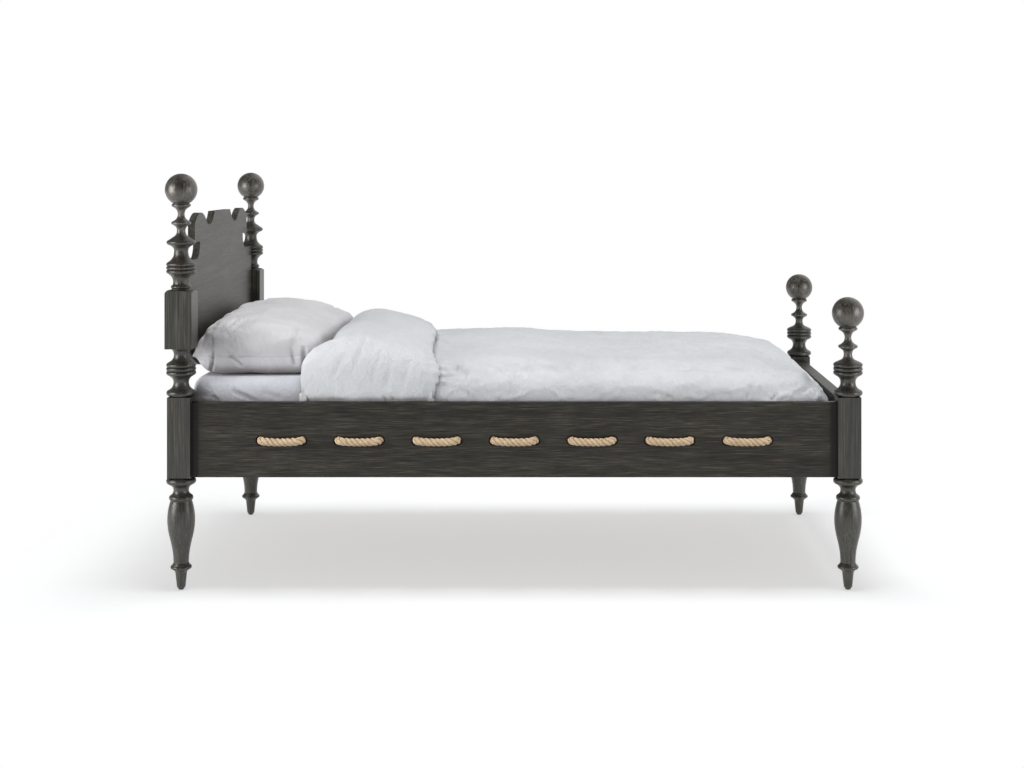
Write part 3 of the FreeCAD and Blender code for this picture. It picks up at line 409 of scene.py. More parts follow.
class Nodes:
    """A material's node tree, with short ways to add and join nodes."""

    def __init__(self, name):
        self.material = bpy.data.materials.new(name)
        self.material.use_nodes = True
        self.tree = self.material.node_tree
        self.shader = self.tree.nodes["Principled BSDF"]

    def put(self, socket, value):
        if isinstance(value, bpy.types.NodeSocket):
            self.tree.links.new(value, socket)
        else:
            socket.default_value = value

    def add(self, kind, inputs, **settings):
        node = self.tree.nodes.new(kind)
        for key, value in settings.items():
            setattr(node, key, value)
        for key, value in inputs.items():
            self.put(node.inputs[key], value)
        return node

    def place(self, scale):
        """Object coordinates, scaled by one number or by three."""
        if isinstance(scale, float):
            scale = [scale] * 3
        coords = self.add("ShaderNodeTexCoord", {}).outputs["Object"]
        return self.add("ShaderNodeMapping", {"Vector": coords, "Scale": scale}).outputs["Vector"]

    def noise(self, place, detail=3.0, roughness=0.55, distortion=0.0):
        inputs = {"Vector": place, "Scale": 1.0, "Detail": detail, "Roughness": roughness,
                  "Distortion": distortion}
        return self.add("ShaderNodeTexNoise", inputs).outputs["Fac"]

    def sum(self, operation, first, second):
        return self.add("ShaderNodeMath", {0: first, 1: second}, operation=operation).outputs[0]

    def ramp(self, value, stops):
        """Colours, or greys given as one number, along a value."""
        node = self.add("ShaderNodeValToRGB", {"Fac": value})
        ends = node.color_ramp.elements
        for index, (place, colour) in enumerate(stops):
            stop = ends[index] if index < 2 else ends.new(place)
            stop.position = place
            stop.color = colour if isinstance(colour, tuple) else (colour, colour, colour, 1.0)
        return node.outputs["Color"]

    def mix(self, share, first, second, blend="MIX"):
        inputs = {0: share, 6: first, 7: second}
        return self.add("ShaderNodeMix", inputs, data_type="RGBA", blend_type=blend).outputs[2]

    def blend(self, values, shares):
        """Values times their shares, added up."""
        parts = [self.sum("MULTIPLY", value, share) for value, share in zip(values, shares)]
        total = parts[0]
        for part in parts[1:]:
            total = self.sum("ADD", total, part)
        return total

    def shaded(self, colour, share, reach, stops):
        """A colour darkened with painted shade where other surfaces stand within reach."""
        hollow = self.add("ShaderNodeAmbientOcclusion", {"Distance": reach}, samples=hollow_samples)
        return self.mix(share, colour, self.ramp(hollow.outputs["AO"], stops), "MULTIPLY")

    def bump(self, height, strength, distance, below=None):
        inputs = {"Height": height, "Strength": strength, "Distance": distance}
        if below is not None:
            inputs["Normal"] = below
        return self.add("ShaderNodeBump", inputs).outputs["Normal"]

    def finish(self, **sockets):
        for key, value in sockets.items():
            self.put(self.shader.inputs[key.replace("_", " ")], value)
        return self.material


def stretched(axis, across, along):
    scale = [across, across, across]
    scale[axis] = along
    return scale


def ebonised_wood(name, axis, wood, tint, reach, shade, end=None):
    """Black-stained, wire-brushed wood: fine grey streaks along the grain, worn brown in places, painted
    shade in grooves and, on rails, a painted shadow near each end.
    """
    fine, depth, worn, shine = wood
    made = Nodes(name)
    fibre_scales = (fine, fine * fibre_stretch_share)
    pore_scales = [fine * share for share in pore_shares]
    fibre = made.noise(made.place(stretched(axis, *fibre_scales)), detail=5.0, roughness=0.66)
    pores = made.noise(made.place(stretched(axis, *pore_scales)), detail=2.0, roughness=0.5)
    figure = made.noise(made.place(stretched(axis, *figure_scales)), detail=4.0, distortion=1.2)
    patches = made.noise(made.place(stretched(axis, *patch_scales)))
    tone = made.blend((fibre, figure), grain_shares)
    share = made.ramp(patches, ((worn_stops[0], 0.0), (worn_stops[1], worn)))
    colour = made.mix(share, made.ramp(tone, black_stain), made.ramp(tone, brown_stain))
    colour = made.mix(pore_dark_share, colour, made.ramp(pores, pore_stops), "MULTIPLY")
    colour = made.mix(1.0, colour, (depth, depth, depth, 1.0), "MULTIPLY")
    colour = made.shaded(colour, groove_shade_share, reach, shade)
    # Painted shadow: the rail darkens towards each end, where the posts stand beside it
    if end is not None:
        parts = made.add("ShaderNodeSeparateXYZ", {0: made.place(1.0)})
        away = made.sum("SUBTRACT", end, made.sum("ABSOLUTE", parts.outputs[axis], 0.0))
        near, far = rail_end_shadow_band
        inputs = {"Value": away, "From Min": near, "From Max": far, "To Min": rail_end_shadow_tone}
        band = made.add("ShaderNodeMapRange", inputs).outputs["Result"]
        colour = made.mix(1.0, colour, band, "MULTIPLY")
    normal = made.bump(pores, *pore_relief)
    normal = made.bump(fibre, *fibre_relief, normal)
    rough = made.ramp(fibre, wood_rough)
    return made.finish(Base_Color=colour, Roughness=rough, Normal=normal, Specular_Tint=tint,
                       Specular_IOR_Level=dull_share + shine_gain_share * shine,
                       Coat_Weight=coat_share * shine, Coat_Roughness=0.38)


def pine(name, axis):
    """Planed pale wood for the slats and cleats."""
    made = Nodes(name)
    rings = made.noise(made.place(stretched(axis, *pine_ring_scales)), distortion=0.7)
    fibre = made.noise(made.place(stretched(axis, *pine_fibre_scales)), detail=4.0)
    colour = made.ramp(made.blend((rings, fibre), pine_shares), pine_stops)
    normal = made.bump(fibre, *pine_relief)
    return made.finish(Base_Color=colour, Roughness=0.62, Normal=normal)


def zinc_steel():
    made = Nodes("zinc_steel")
    cloud = made.noise(made.place(steel_scale), detail=4.0)
    colour = made.ramp(cloud, steel_stops)
    return made.finish(Base_Color=colour, Roughness=made.ramp(cloud, steel_rough), Metallic=1.0)


def manila(name):
    """Rope fibre: yarns twist against the strand, with loose pale hairs, and painted shade between the
    strands.
    """
    made = Nodes(name)
    lay = made.add("ShaderNodeUVMap", {}, uv_map="lay").outputs["UV"]
    inputs = {"Vector": lay, "Scale": yarn_scales, "Rotation": yarn_lean}
    yarn_place = made.add("ShaderNodeMapping", inputs).outputs["Vector"]
    yarns = made.noise(yarn_place, detail=2.0, roughness=0.6, distortion=0.3)
    hairs = made.noise(made.place(hair_scale), roughness=0.7)
    cloud = made.noise(made.place(rope_cloud_scale))
    tone = made.blend((yarns, hairs, cloud), rope_shares)
    colour = made.shaded(made.ramp(tone, rope_colours), rope_shade_share, strand_radius, rope_shade)
    normal = made.bump(tone, *rope_relief)
    return made.finish(Base_Color=colour, Roughness=0.86, Normal=normal, Sheen_Weight=0.15)


def twine():
    made = Nodes("whipping_twine")
    inputs = {"Vector": made.place(1.0), "Scale": twine_scale, "Distortion": 0.6, "Detail": 2.0}
    turns = made.add("ShaderNodeTexWave", inputs, bands_direction="X").outputs["Fac"]
    normal = made.bump(turns, *twine_relief)
    return made.finish(Base_Color=made.ramp(turns, twine_stops), Roughness=0.8, Normal=normal)


def cotton(name, shade, pale, crinkled=plain_crinkle, reach=crease_shade_reach):
    """Plain washed cotton: a fine weave, soft crumples, finer crinkles, a faint tone partly random and
    partly painted shade in the crumples' hollows, and painted shade in creases and where other cloth stands
    near.
    """
    made = Nodes(name)
    along = weave_scale * weave_share
    warp = made.noise(made.place((weave_scale, along, weave_scale)), detail=1.0)
    weft = made.noise(made.place((along, weave_scale, weave_scale)), detail=1.0)
    threads = made.sum("MAXIMUM", warp, weft)
    crumple = made.noise(made.place(crumple_scales), detail=4.0, roughness=0.58, distortion=1.2)
    crinkle = made.noise(made.place(crinkle_scales), roughness=0.6, distortion=1.8)
    cloud = made.noise(made.place(cotton_cloud_scale))
    tone = made.blend((cloud, crumple), cotton_shares)
    colour = made.ramp(tone, tuple(zip(cotton_stops, (shade, pale))))
    colour = made.shaded(colour, cotton_shade_share, reach, crease_shade)
    normal = made.bump(crumple, *crumple_relief)
    normal = made.bump(crinkle, crinkled, crinkle_depth, normal)
    normal = made.bump(threads, *thread_relief, normal)
    return made.finish(Base_Color=colour, Roughness=0.85, Normal=normal, Sheen_Weight=0.12)


def ticking(name):
    """Mattress ticking: cream cotton with narrow woven stripes along the bed."""
    made = Nodes(name)
    inputs = {"Vector": made.place(1.0), "Scale": stripe_scale}
    stripe = made.add("ShaderNodeTexWave", inputs, bands_direction="Y").outputs["Fac"]
    threads = made.noise(made.place(ticking_scale), detail=1.0)
    normal = made.bump(threads, *ticking_relief)
    return made.finish(Base_Color=made.ramp(stripe, stripe_stops), Roughness=0.88, Normal=normal)


def make_floor():
    """A pale floor that reads as white where no shadow falls."""
    mesh = bpy.data.meshes.new("floor")
    h = floor_half
    mesh.from_pydata([(-h, -h, 0), (h, -h, 0), (h, h, 0), (-h, h, 0)], [], [(0, 1, 2, 3)])
    floor = bpy.data.objects.new("floor", mesh)
    bpy.context.scene.collection.objects.link(floor)
    made = Nodes("floor")
    made.finish(Base_Color=floor_colour, Roughness=0.9, Specular_IOR_Level=0.0)
    path = made.add("ShaderNodeLightPath", {})
    seen = made.sum("MAXIMUM", path.outputs["Is Camera Ray"], path.outputs["Is Glossy Ray"])
    seen = made.sum("MAXIMUM", seen, path.outputs["Is Transmission Ray"])
    glow = made.add("ShaderNodeEmission", {"Strength": made.sum("MULTIPLY", seen, floor_glow)})
    both = made.add("ShaderNodeAddShader", {0: made.shader.outputs[0], 1: glow.outputs[0]})
    parts = made.add("ShaderNodeSeparateXYZ", {0: made.place(1.0)})
    fades = []
    for axis, (full, none) in (("X", floor_clear_x), ("Y", floor_clear_y)):
        away = made.sum("ABSOLUTE", parts.outputs[axis], 0.0)
        fades.append(made.add("ShaderNodeMapRange", {"Value": away, "From Min": full, "From Max": none},
                              interpolation_type="SMOOTHSTEP").outputs["Result"])
    clear = made.sum("MULTIPLY", made.sum("MAXIMUM", *fades), path.outputs["Is Camera Ray"])
    gone = made.add("ShaderNodeBsdfTransparent", {})
    whole = made.add("ShaderNodeMixShader", {0: clear, 1: both.outputs[0], 2: gone.outputs[0]})
    made.put(made.tree.nodes["Material Output"].inputs["Surface"], whole.outputs[0])
    mesh.materials.append(made.material)
    return floor


def make_world():
    """White where the camera sees it; soft light elsewhere, with the bright backdrop in reflections."""
    world = bpy.data.worlds.new("studio")
    world.use_nodes = True
    tree = world.node_tree
    sky = tree.nodes["Background"]
    sky.inputs["Color"].default_value = (1.0, 1.0, 1.0, 1.0)
    path = tree.nodes.new("ShaderNodeLightPath")
    way = tree.nodes.new("ShaderNodeTexCoord")
    parts = tree.nodes.new("ShaderNodeSeparateXYZ")
    tree.links.new(way.outputs["Generated"], parts.inputs[0])

    def ranged(value, low, high, start, end):
        node = tree.nodes.new("ShaderNodeMapRange")
        node.inputs["From Min"].default_value = low
        node.inputs["From Max"].default_value = high
        for key, given in (("Value", value), ("To Min", start), ("To Max", end)):
            if isinstance(given, bpy.types.NodeSocket):
                tree.links.new(given, node.inputs[key])
            else:
                node.inputs[key].default_value = given
        return node.outputs["Result"]

    back = ranged(parts.outputs["X"], *sheen_across, edge_sheen, back_sheen)
    sheen = ranged(parts.outputs["Y"], *sheen_behind, front_sheen, back)
    light = ranged(path.outputs["Is Glossy Ray"], 0.0, 1.0, world_light, sheen)
    light = ranged(path.outputs["Is Transmission Ray"], 0.0, 1.0, light, 1.0)
    light = ranged(path.outputs["Is Camera Ray"], 0.0, 1.0, light, 1.0)
    tree.links.new(light, sky.inputs["Strength"])
    bpy.context.scene.world = world


def make_lamps(floor):
    """Softboxes at the sides and in front, which leave the floor out, and one above for the shadow."""
    bare = bpy.data.collections.new("floor_left_out")
    bare.objects.link(floor)
    bare.collection_objects[0].light_linking.link_state = "EXCLUDE"
    for name, place, aim, size, power, mirrored in lamps:
        data = bpy.data.lights.new(name, "AREA")
        data.shape = "RECTANGLE"
        data.size, data.size_y = size
        data.energy = power
        lamp = bpy.data.objects.new(name, data)
        lamp.location = place
        lamp.rotation_euler = (Vector(aim) - Vector(place)).to_track_quat("-Z", "Y").to_euler()
        lamp.visible_glossy = mirrored
        if name != shadow_lamp:
            lamp.light_linking.receiver_collection = bare
        bpy.context.scene.collection.objects.link(lamp)


def make_camera():
    data = bpy.data.cameras.new("camera")
    data.sensor_width = sensor_millimetres
    data.lens = focal_pixels / image_width * sensor_millimetres
    data.shift_x = (image_width / 2 - vanishing_x) / image_width
    data.shift_y = (vanishing_y - image_height / 2) / image_width
    camera = bpy.data.objects.new("camera", data)
    camera.location = camera_place
    camera.rotation_euler = (math.radians(90), 0, 0)
    bpy.context.scene.collection.objects.link(camera)
    bpy.context.scene.camera = camera


def paint(node, material):
    mesh = nodes[node].data
    mesh.materials.clear()
    mesh.materials.append(material)


def paint_frame():
    """Each piece of the frame in its own wood, steel or twine."""
    grooves = (groove_reach, groove_shade)
    posts = ebonised_wood("ebonised_upright", along_z, post_wood, post_sheen, *grooves)
    balls = ebonised_wood("ebonised_ball", along_z, ball_wood, warm_sheen, *grooves)
    rail_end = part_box("cleat_near")[1].x + cleat_end_gap
    rails = ebonised_wood("ebonised_long", along_x, rail_wood, warm_sheen, rail_reach, rail_shade, rail_end)
    planks = ebonised_wood("ebonised_cross", along_y, plank_wood, warm_sheen, *grooves)
    ends = ebonised_wood("ebonised_end", along_y, end_wood, warm_sheen, *grooves)
    slats = pine("pine_cross", along_y)
    cleats = pine("pine_long", along_x)
    steel = zinc_steel()
    wrap = twine()
    kinds = (("_finial_", balls), ("_post_", posts), ("side_rail", rails), ("head_rail", ends),
             ("foot_rail", ends), ("headboard", planks), ("screws", steel), ("slat_", slats),
             ("cleat_", cleats), ("bolt_", steel), ("_bolt", steel), ("barrel", steel),
             ("rope_clip", steel), ("rope_whipping", wrap))
    for node in nodes:
        for word, material in kinds:
            if word in node:
                paint(node, material)
                break


def new_piece(name, points, faces, material):
    mesh = bpy.data.meshes.new(name)
    mesh.from_pydata([tuple(point) for point in points], [], faces)
    mesh.polygons.foreach_set("use_smooth", [True] * len(mesh.polygons))
    mesh.materials.append(material)
    piece = bpy.data.objects.new(name, mesh)
    bpy.context.scene.collection.objects.link(piece)
    return piece


def grid_faces(rows, columns, first=0, closed=False, flip=False):
    """Quads over rows of points, joined round where a row is closed."""
    faces = []
    for row in range(rows - 1):
        for column in range(columns if closed else columns - 1):
            after = (column + 1) % columns
            quad = [first + row * columns + column, first + row * columns + after,
                    first + (row + 1) * columns + after, first + (row + 1) * columns + column]
            faces.append(quad[::-1] if flip else quad)
    return faces


def rope_route(side):
    """The rope's corners: out and in through the rail's holes, with a slack stretch outside."""
    low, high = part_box("side_rail_near")
    stand_off = rope_radius + rope_lay_gap
    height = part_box("slat_01")[1].z + rope_slat_gap + rope_radius
    outside, inside = side * (abs(low.y) + stand_off), side * (abs(high.y) - stand_off)
    rail_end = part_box("cleat_near")[1].x + cleat_end_gap
    reach = rail_end - rope_end_margin - rope_stretch / 2
    centres = [-reach + 2 * reach * index / (rope_stretch_count - 1) for index in range(rope_stretch_count)]
    half = rope_stretch / 2
    points = [Vector((centres[0] - half - rope_tail, inside, height))]
    for centre in centres:
        points += [Vector((centre - half, inside, height)), Vector((centre - half, outside, height)),
                   Vector((centre - rope_stretch * slack_share, outside, height - rope_sag)),
                   Vector((centre + rope_stretch * slack_share, outside, height - rope_sag)),
                   Vector((centre + half, outside, height)), Vector((centre + half, inside, height))]
    points.append(Vector((centres[-1] + half + rope_tail, inside, height)))
    return points


def spline_points(points):
    """A smooth line through the bends of a route, as points."""
    curve = bpy.data.curves.new("route", "CURVE")
    curve.dimensions = "3D"
    curve.resolution_u = route_steps
    spline = curve.splines.new("NURBS")
    spline.points.add(len(points) - 1)
    for target, point in zip(spline.points, points):
        target.co = (*point, 1.0)
    spline.order_u = 3
    spline.use_endpoint_u = True
    holder = bpy.data.objects.new("route", curve)
    mesh = bpy.data.meshes.new_from_object(holder)
    line = [vertex.co.copy() for vertex in mesh.vertices]
    bpy.data.objects.remove(holder)
    bpy.data.curves.remove(curve)
    bpy.data.meshes.remove(mesh)
    return line


def evenly(line, step):
    """Points a step apart along a line."""
    made = [line[0]]
    left = step
    for start, end in zip(line, line[1:]):
        run = (end - start).length
        at = 0.0
        while run - at >= left:
            at += left
            made.append(start.lerp(end, at / run))
            left = step
        left -= run - at
    return made


def rope_frames(line):
    """Two side directions at each point, carried along the line without twist."""
    sides = []
    across = Vector((0, 0, 1))
    for index, point in enumerate(line):
        ahead = line[min(index + 1, len(line) - 1)] - line[max(index - 1, 0)]
        ahead.normalize()
        across = (across - ahead * across.dot(ahead)).normalized()
        sides.append((across.copy(), ahead.cross(across)))
    return sides


def make_rope(name, side, material):
    """Three strands laid right-handed along the route."""
    line = evenly(spline_points(rope_route(side)), strand_step)
    sides = rope_frames(line)
    offset = rope_radius - strand_radius * strand_bite_share
    points, faces, lays = [], [], []
    for strand in range(strand_count):
        centres = []
        for index, (point, (first, second)) in enumerate(zip(line, sides)):
            turn = 2 * math.pi * (strand / strand_count + index * strand_step / rope_lay_length)
            centres.append(point + (first * math.cos(turn) + second * math.sin(turn)) * offset)
        begin = len(points)
        for index, (centre, (first, second)) in enumerate(zip(centres, rope_frames(centres))):
            for corner in range(strand_sides):
                turn = 2 * math.pi * corner / strand_sides
                swell = noise.noise(centre * strand_swell_scale + Vector((strand, corner, 0)))
                reach = strand_radius * (1.0 + strand_swell_share * swell)
                points.append(centre + (first * math.cos(turn) + second * math.sin(turn)) * reach)
                lays.append((index * strand_step, corner / strand_sides))
        faces += grid_faces(len(centres), strand_sides, begin, closed=True, flip=True)
        faces.append(list(range(begin, begin + strand_sides)))
        faces.append(list(range(len(points) - 1, len(points) - strand_sides - 1, -1)))
    rope = new_piece(name, points, faces, material)
    layer = rope.data.uv_layers.new(name="lay")
    for loop in rope.data.loops:
        layer.data[loop.index].uv = lays[loop.vertex_index]
    return rope


def smooth(value, low, high):
    """A smooth step from none to whole between two values."""
    share = min(1.0, max(0.0, (value - low) / (high - low)))
    return share * share * (3.0 - 2.0 * share)


def settle(piece, frames, pressure, stiffness, bending, shrink, pins, cap, shares):
    """Let cloth swell and wrinkle for some frames, then keep the result as the piece's mesh."""
    start = [vertex.co.copy() for vertex in piece.data.vertices]
    modifier = piece.modifiers.new("settle", "CLOTH")
    cloth = modifier.settings
    cloth.quality = cloth_quality
    cloth.mass = cloth_mass
    cloth.air_damping = cloth_air_damping
    cloth.tension_stiffness = stiffness
    cloth.compression_stiffness = stiffness
    cloth.shear_stiffness = stiffness * cloth_shear_share
    cloth.bending_stiffness = bending
    cloth.use_pressure = True
    cloth.uniform_pressure_force = pressure
    cloth.shrink_min = shrink
    cloth.effector_weights.gravity = 0.0
    modifier.collision_settings.use_collision = False
    modifier.point_cache.frame_start = 1
    modifier.point_cache.frame_end = frames
    group = piece.vertex_groups.new(name="pins")
    for index, weight in pins:
        group.add([index], weight, "REPLACE")
    cloth.vertex_group_mass = "pins"
    scene = bpy.context.scene
    for at in range(1, frames + 1):
        scene.frame_set(at)
    graph = bpy.context.evaluated_depsgraph_get()
    moved = [vertex.co.copy() for vertex in piece.evaluated_get(graph).data.vertices]
    piece.modifiers.clear()
    piece.vertex_groups.clear()
    scene.frame_set(1)
    for vertex, old, new, share in zip(piece.data.vertices, start, moved, shares):
        move = new - old
        if move.length > cap:
            move *= cap / move.length
        vertex.co = old + move * share


def seen_at(spot):
    """Where the camera sees a place, or its mirror place on the far side, in the photograph's pixels."""
    away = -abs(spot.y) - camera_place.y
    return Vector((vanishing_x + focal_pixels * (spot.x - camera_place.x) / away,
                   vanishing_y - focal_pixels * (spot.z - camera_place.z) / away))


def crease_depth(spot, creases):
    """How far creases press a place in; beside each crease the cloth stands up a little."""
    at = seen_at(spot)
    depth = 0.0
    for x_start, y_start, x_end, y_end, deep, width in creases:
        start, end = Vector((x_start, y_start)), Vector((x_end, y_end))
        line = end - start
        share = min(1.0, max(0.0, (at - start).dot(line) / line.length_squared))
        away = ((at - start - line * share).length / width) ** 2
        if away < crease_limit:
            press = deep * (1.0 - crease_lip_share * away) * math.exp(-away)
            depth += press * (1.0 - abs(2 * share - 1) ** crease_end_power)
    return depth


def rounded_outline(half_x, half_y, radius, counts):
    """Points round a rectangle with rounded corners, the same count whatever the inset."""
    points = []
    for turn, (sign_x, sign_y) in enumerate(((1, 1), (-1, 1), (-1, -1), (1, -1))):
        corner = Vector((sign_x * (half_x - radius), sign_y * (half_y - radius)))
        for index in range(counts[0] + 1):
            angle = math.pi / 2 * (turn + index / counts[0])
            points.append(corner + Vector((math.cos(angle), math.sin(angle))) * radius)
        sides = counts[1] if turn % 2 == 0 else counts[2]
        ahead = ((-1, 1), (-1, -1), (1, -1), (1, 1))[turn]
        end = Vector((ahead[0] * (half_x - radius), ahead[1] * (half_y - radius)))
        end += Vector(((0, 1), (-1, 0), (0, -1), (1, 0))[turn]) * radius
        start = points[-1]
        points += [start.lerp(end, index / sides) for index in range(1, sides)]
    return points


def padded_rings(low, high, corner, edge, under, step):
    """Rings over a padded block: its top from the middle out, its edges, sides and underside."""
    half = (high - low) / 2
    counts = (corner_steps, round(2 * half.x / step), round(2 * half.y / step))
    profile = []
    start = half.y - middle_gap
    count = int((half.y - edge) / inset_step)
    for index in range(count + 1):
        profile.append((start - (start - edge) * index / count, high.z))
    for index in range(1, edge_steps + 1):
        angle = math.pi / 2 * index / edge_steps
        profile.append((edge - edge * math.sin(angle), high.z - edge + edge * math.cos(angle)))
    side = int((high.z - low.z - 2 * edge) / step)
    for index in range(1, side + 1):
        profile.append((0.0, high.z - edge - (high.z - low.z - 2 * edge) * index / side))
    for index in range(1, edge_steps + 1):
        angle = math.pi / 2 * index / edge_steps
        profile.append((edge - edge * math.cos(angle), low.z + edge - edge * math.sin(angle)))
    count = max(2, int((under - edge) / inset_step))
    for index in range(1, count + 1):
        profile.append((edge + (under - edge) * index / count, low.z))
    middle = (low + high) / 2
    rings = []
    for inset, z in profile:
        radius = max(least_radius, corner - inset)
        plan = rounded_outline(half.x - inset, half.y - inset, radius, counts)
        rings.append([Vector((middle.x + p.x, middle.y + p.y, z)) for p in plan])
    return rings


def ring_piece(name, rings, material, close_under):
    """A piece over rings of points, its top closed and its underside closed or open."""
    points = [point for ring in rings for point in ring]
    count = len(rings[0])
    faces = grid_faces(len(rings), count, closed=True, flip=True)
    faces.append(list(range(count)))
    if close_under:
        faces.append(list(range(len(points) - 1, len(points) - count - 1, -1)))
    return new_piece(name, points, faces, material)


def make_mattress(material):
    """Quilted ticking with a corded edge above and below."""
    low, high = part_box("mattress")
    low, high = low + mattress_slack, high - mattress_slack
    rings = padded_rings(low, high, corner_radius, edge_radius, (high.y - low.y) / 2 - middle_gap,
                         mattress_step)
    for ring in rings:
        for point in ring:
            level = smooth(abs(point.z - (low.z + high.z) / 2), *tuft_levels)
            tuft = math.sin(point.x * tuft_scale) * math.sin(point.y * tuft_scale)
            inward = 1.0 if point.z < (low.z + high.z) / 2 else -1.0
            point.z += inward * level * tuft_depth * (0.5 - 0.5 * abs(tuft) ** 0.5)
    return ring_piece("mattress_ticking", rings, material, True)


def make_fitted_sheet(material):
    """Cotton drawn tight over the mattress, with creases from its head corners and a gathered hem."""
    low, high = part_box("fitted_sheet")
    rings = padded_rings(low, high, corner_radius, edge_radius, sheet_turn_under, sheet_step)
    for ring in rings:
        for point in ring:
            along, drop = point.x - low.x, high.z - point.z
            loose = (1.0 - smooth(along, *loose_along)) * (1.0 - smooth(drop, *loose_drop))
            gather = smooth(drop, *gather_drop) * math.sin((point.x + point.y) * gather_scale)
            across = (point.x * ripple_scales[0], point.y * ripple_scales[1], ripple_slice)
            ripple = noise.noise(Vector(across))
            reach_x, reach_y = side_reaches
            outward = Vector((point.x - (low.x + high.x) / 2, point.y, 0.0))
            outward = Vector((math.copysign(1.0, outward.x) if abs(outward.x) > reach_x else 0.0,
                              math.copysign(1.0, outward.y) if abs(outward.y) > reach_y else 0.0, 0.0))
            slack = 0.0
            if along < loose_along[1]:
                slack = loose * (sheet_slack - crease_depth(point, sheet_creases))
            point += outward * (max(0.0, slack) + gather_depth * gather)
            if drop < ripple_drop:
                point.z += ripple_height * ripple
    return ring_piece("fitted_sheet_cotton", rings, material, False)


def pillow_spot(a, b, layer, low, high):
    """A place on the pillow's case: a full crown over a flat base, drawn to a seam all round."""
    half = (high - low) / 2
    middle = (low + high) / 2
    s, t = math.sin(a * math.pi / 2), math.sin(b * math.pi / 2)
    plump = max(0.0, 1 - abs(t) ** pillow_end_power) ** pillow_end_round
    if s < 0:
        plump *= max(0.0, 1 - abs(s) ** pillow_head_power) ** pillow_side_round
    else:
        plump *= max(0.0, 1 - s ** pillow_foot_power) ** pillow_side_round
        plump *= 1 - pillow_foot_slope * (math.hypot(s, pillow_foot_ease) - pillow_foot_ease)
    ear = (abs(s) * abs(t)) ** pillow_ear_power * (1.0 - smooth(s, *pillow_ear_fade))
    draw = pillow_draw_share * abs(t) ** pillow_draw_power if s < 0 else 0.0
    x = half.x * s * (1 + pillow_ear_shares[0] * ear - draw)
    y = half.y * t * (1 - pillow_waist_share * s * s + pillow_ear_shares[1] * ear)
    if layer > 0:
        z = pillow_seam_rise + (high.z - low.z - pillow_seam_rise - pillow_puff) * plump
        x -= pillow_lean * (1 - s * s) * plump ** 2
    else:
        under = max(0.0, 1 - abs(t) ** pillow_under_end_power) ** pillow_end_round
        if s < 0:
            under *= max(0.0, 1 - abs(s) ** pillow_under_power) ** pillow_side_round
        z = pillow_seam_rise * (1 - smooth(min(plump, under), 0.0, pillow_under_share))
    return Vector((middle.x + x, middle.y + y, low.z + z))


def crease_pillow(piece, index):
    """Creases that fan out from the corners, small gathers at the seam, and the seam, sunk in."""
    cells_x, cells_y = pillow_cells
    moves = [Vector()] * len(piece.data.vertices)
    for (column, row, layer), at in index.items():
        vertex = piece.data.vertices[at]
        if layer == 0:
            moves[at] = -vertex.normal * pillow_seam_sink
            continue
        across = min(column, cells_x - column) / cells_x * pillow_aspect_share
        along = min(row, cells_y - row) / cells_y
        away = math.hypot(across, along)
        wander = noise.noise(vertex.co * pillow_wander_scale)
        fan = math.sin(math.atan2(along, across) * fan_folds + fan_wander * wander)
        fan *= math.exp(-away / fan_reach_share) * smooth(away, 0.0, fan_start_share)
        fan *= 1.0 - fan_fade_share * smooth(column / cells_x, *fan_fade_band)
        stroke = (row if across < along else column) * seam_gather_step
        gather = math.sin(stroke + seam_gather_wander * wander)
        gather *= math.exp(-min(across, along) / seam_gather_reach_share) * seam_gather_share
        spot = Vector([value * scale for value, scale in zip(vertex.co, pillow_ridge_scales)])
        ridge = max(0.0, 1.0 - abs(noise.noise(spot)) * pillow_ridge_sharpness)
        moves[at] = vertex.normal * (pillow_crease * (fan + gather) + pillow_ridge * ridge)
    for vertex, move in zip(piece.data.vertices, moves):
        vertex.co += move


def make_pillow(material):
    """A sewn case over a full pillow: its extra cloth buckles into creases that run from the seam."""
    low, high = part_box("pillow")
    cells_x, cells_y = pillow_cells
    index, points, faces, pins, shares = {}, [], [], [], []
    for layer in (1, -1):
        for row in range(cells_y + 1):
            for column in range(cells_x + 1):
                a, b = 2 * column / cells_x - 1, 2 * row / cells_y - 1
                seam = abs(a) == 1 or abs(b) == 1
                key = (column, row, 0 if seam else layer)
                if key in index:
                    continue
                index[key] = len(points)
                if seam or layer < 0:
                    pins.append((len(points), 1.0))
                shares.append(1.0 - pillow_calm_share * smooth(a, *pillow_calm_band))
                spot = pillow_spot(a, b, layer, low, high)
                if not seam:
                    scale_x, scale_y = pillow_crumple_scales
                    bump = noise.noise(Vector((spot.x * scale_x, spot.y * scale_y, layer)))
                    spot.z += layer * pillow_crumple * bump
                points.append(spot)
        for row in range(cells_y):
            for column in range(cells_x):
                quad = []
                for dx, dy in ((0, 0), (1, 0), (1, 1), (0, 1)):
                    at = (column + dx, row + dy)
                    quad.append(index.get((*at, layer), index.get((*at, 0))))
                faces.append(quad if layer == 1 else quad[::-1])
    pillow = new_piece("pillow_cotton", points, faces, material)
    settle(pillow, pillow_frames, *pillow_cloth, pins, pillow_cap, shares)
    crease_pillow(pillow, index)
    seam = {at for (column, row, layer), at in index.items() if layer == 0}
    sharp = pillow.data.attributes.new("crease_edge", "FLOAT", "EDGE").data
    for edge in pillow.data.edges:
        sharp[edge.index].value = 1.0 if seam.issuperset(edge.vertices) else 0.0
    refine(pillow)
    moves = [vertex.normal * -crease_depth(vertex.co, pillow_creases) for vertex in pillow.data.vertices]
    for vertex, move in zip(pillow.data.vertices, moves):
        vertex.co += move
        vertex.co.z = max(vertex.co.z, low.z + pillow_rest_gap)
        vertex.co.x = max(vertex.co.x, low.x)
    return pillow


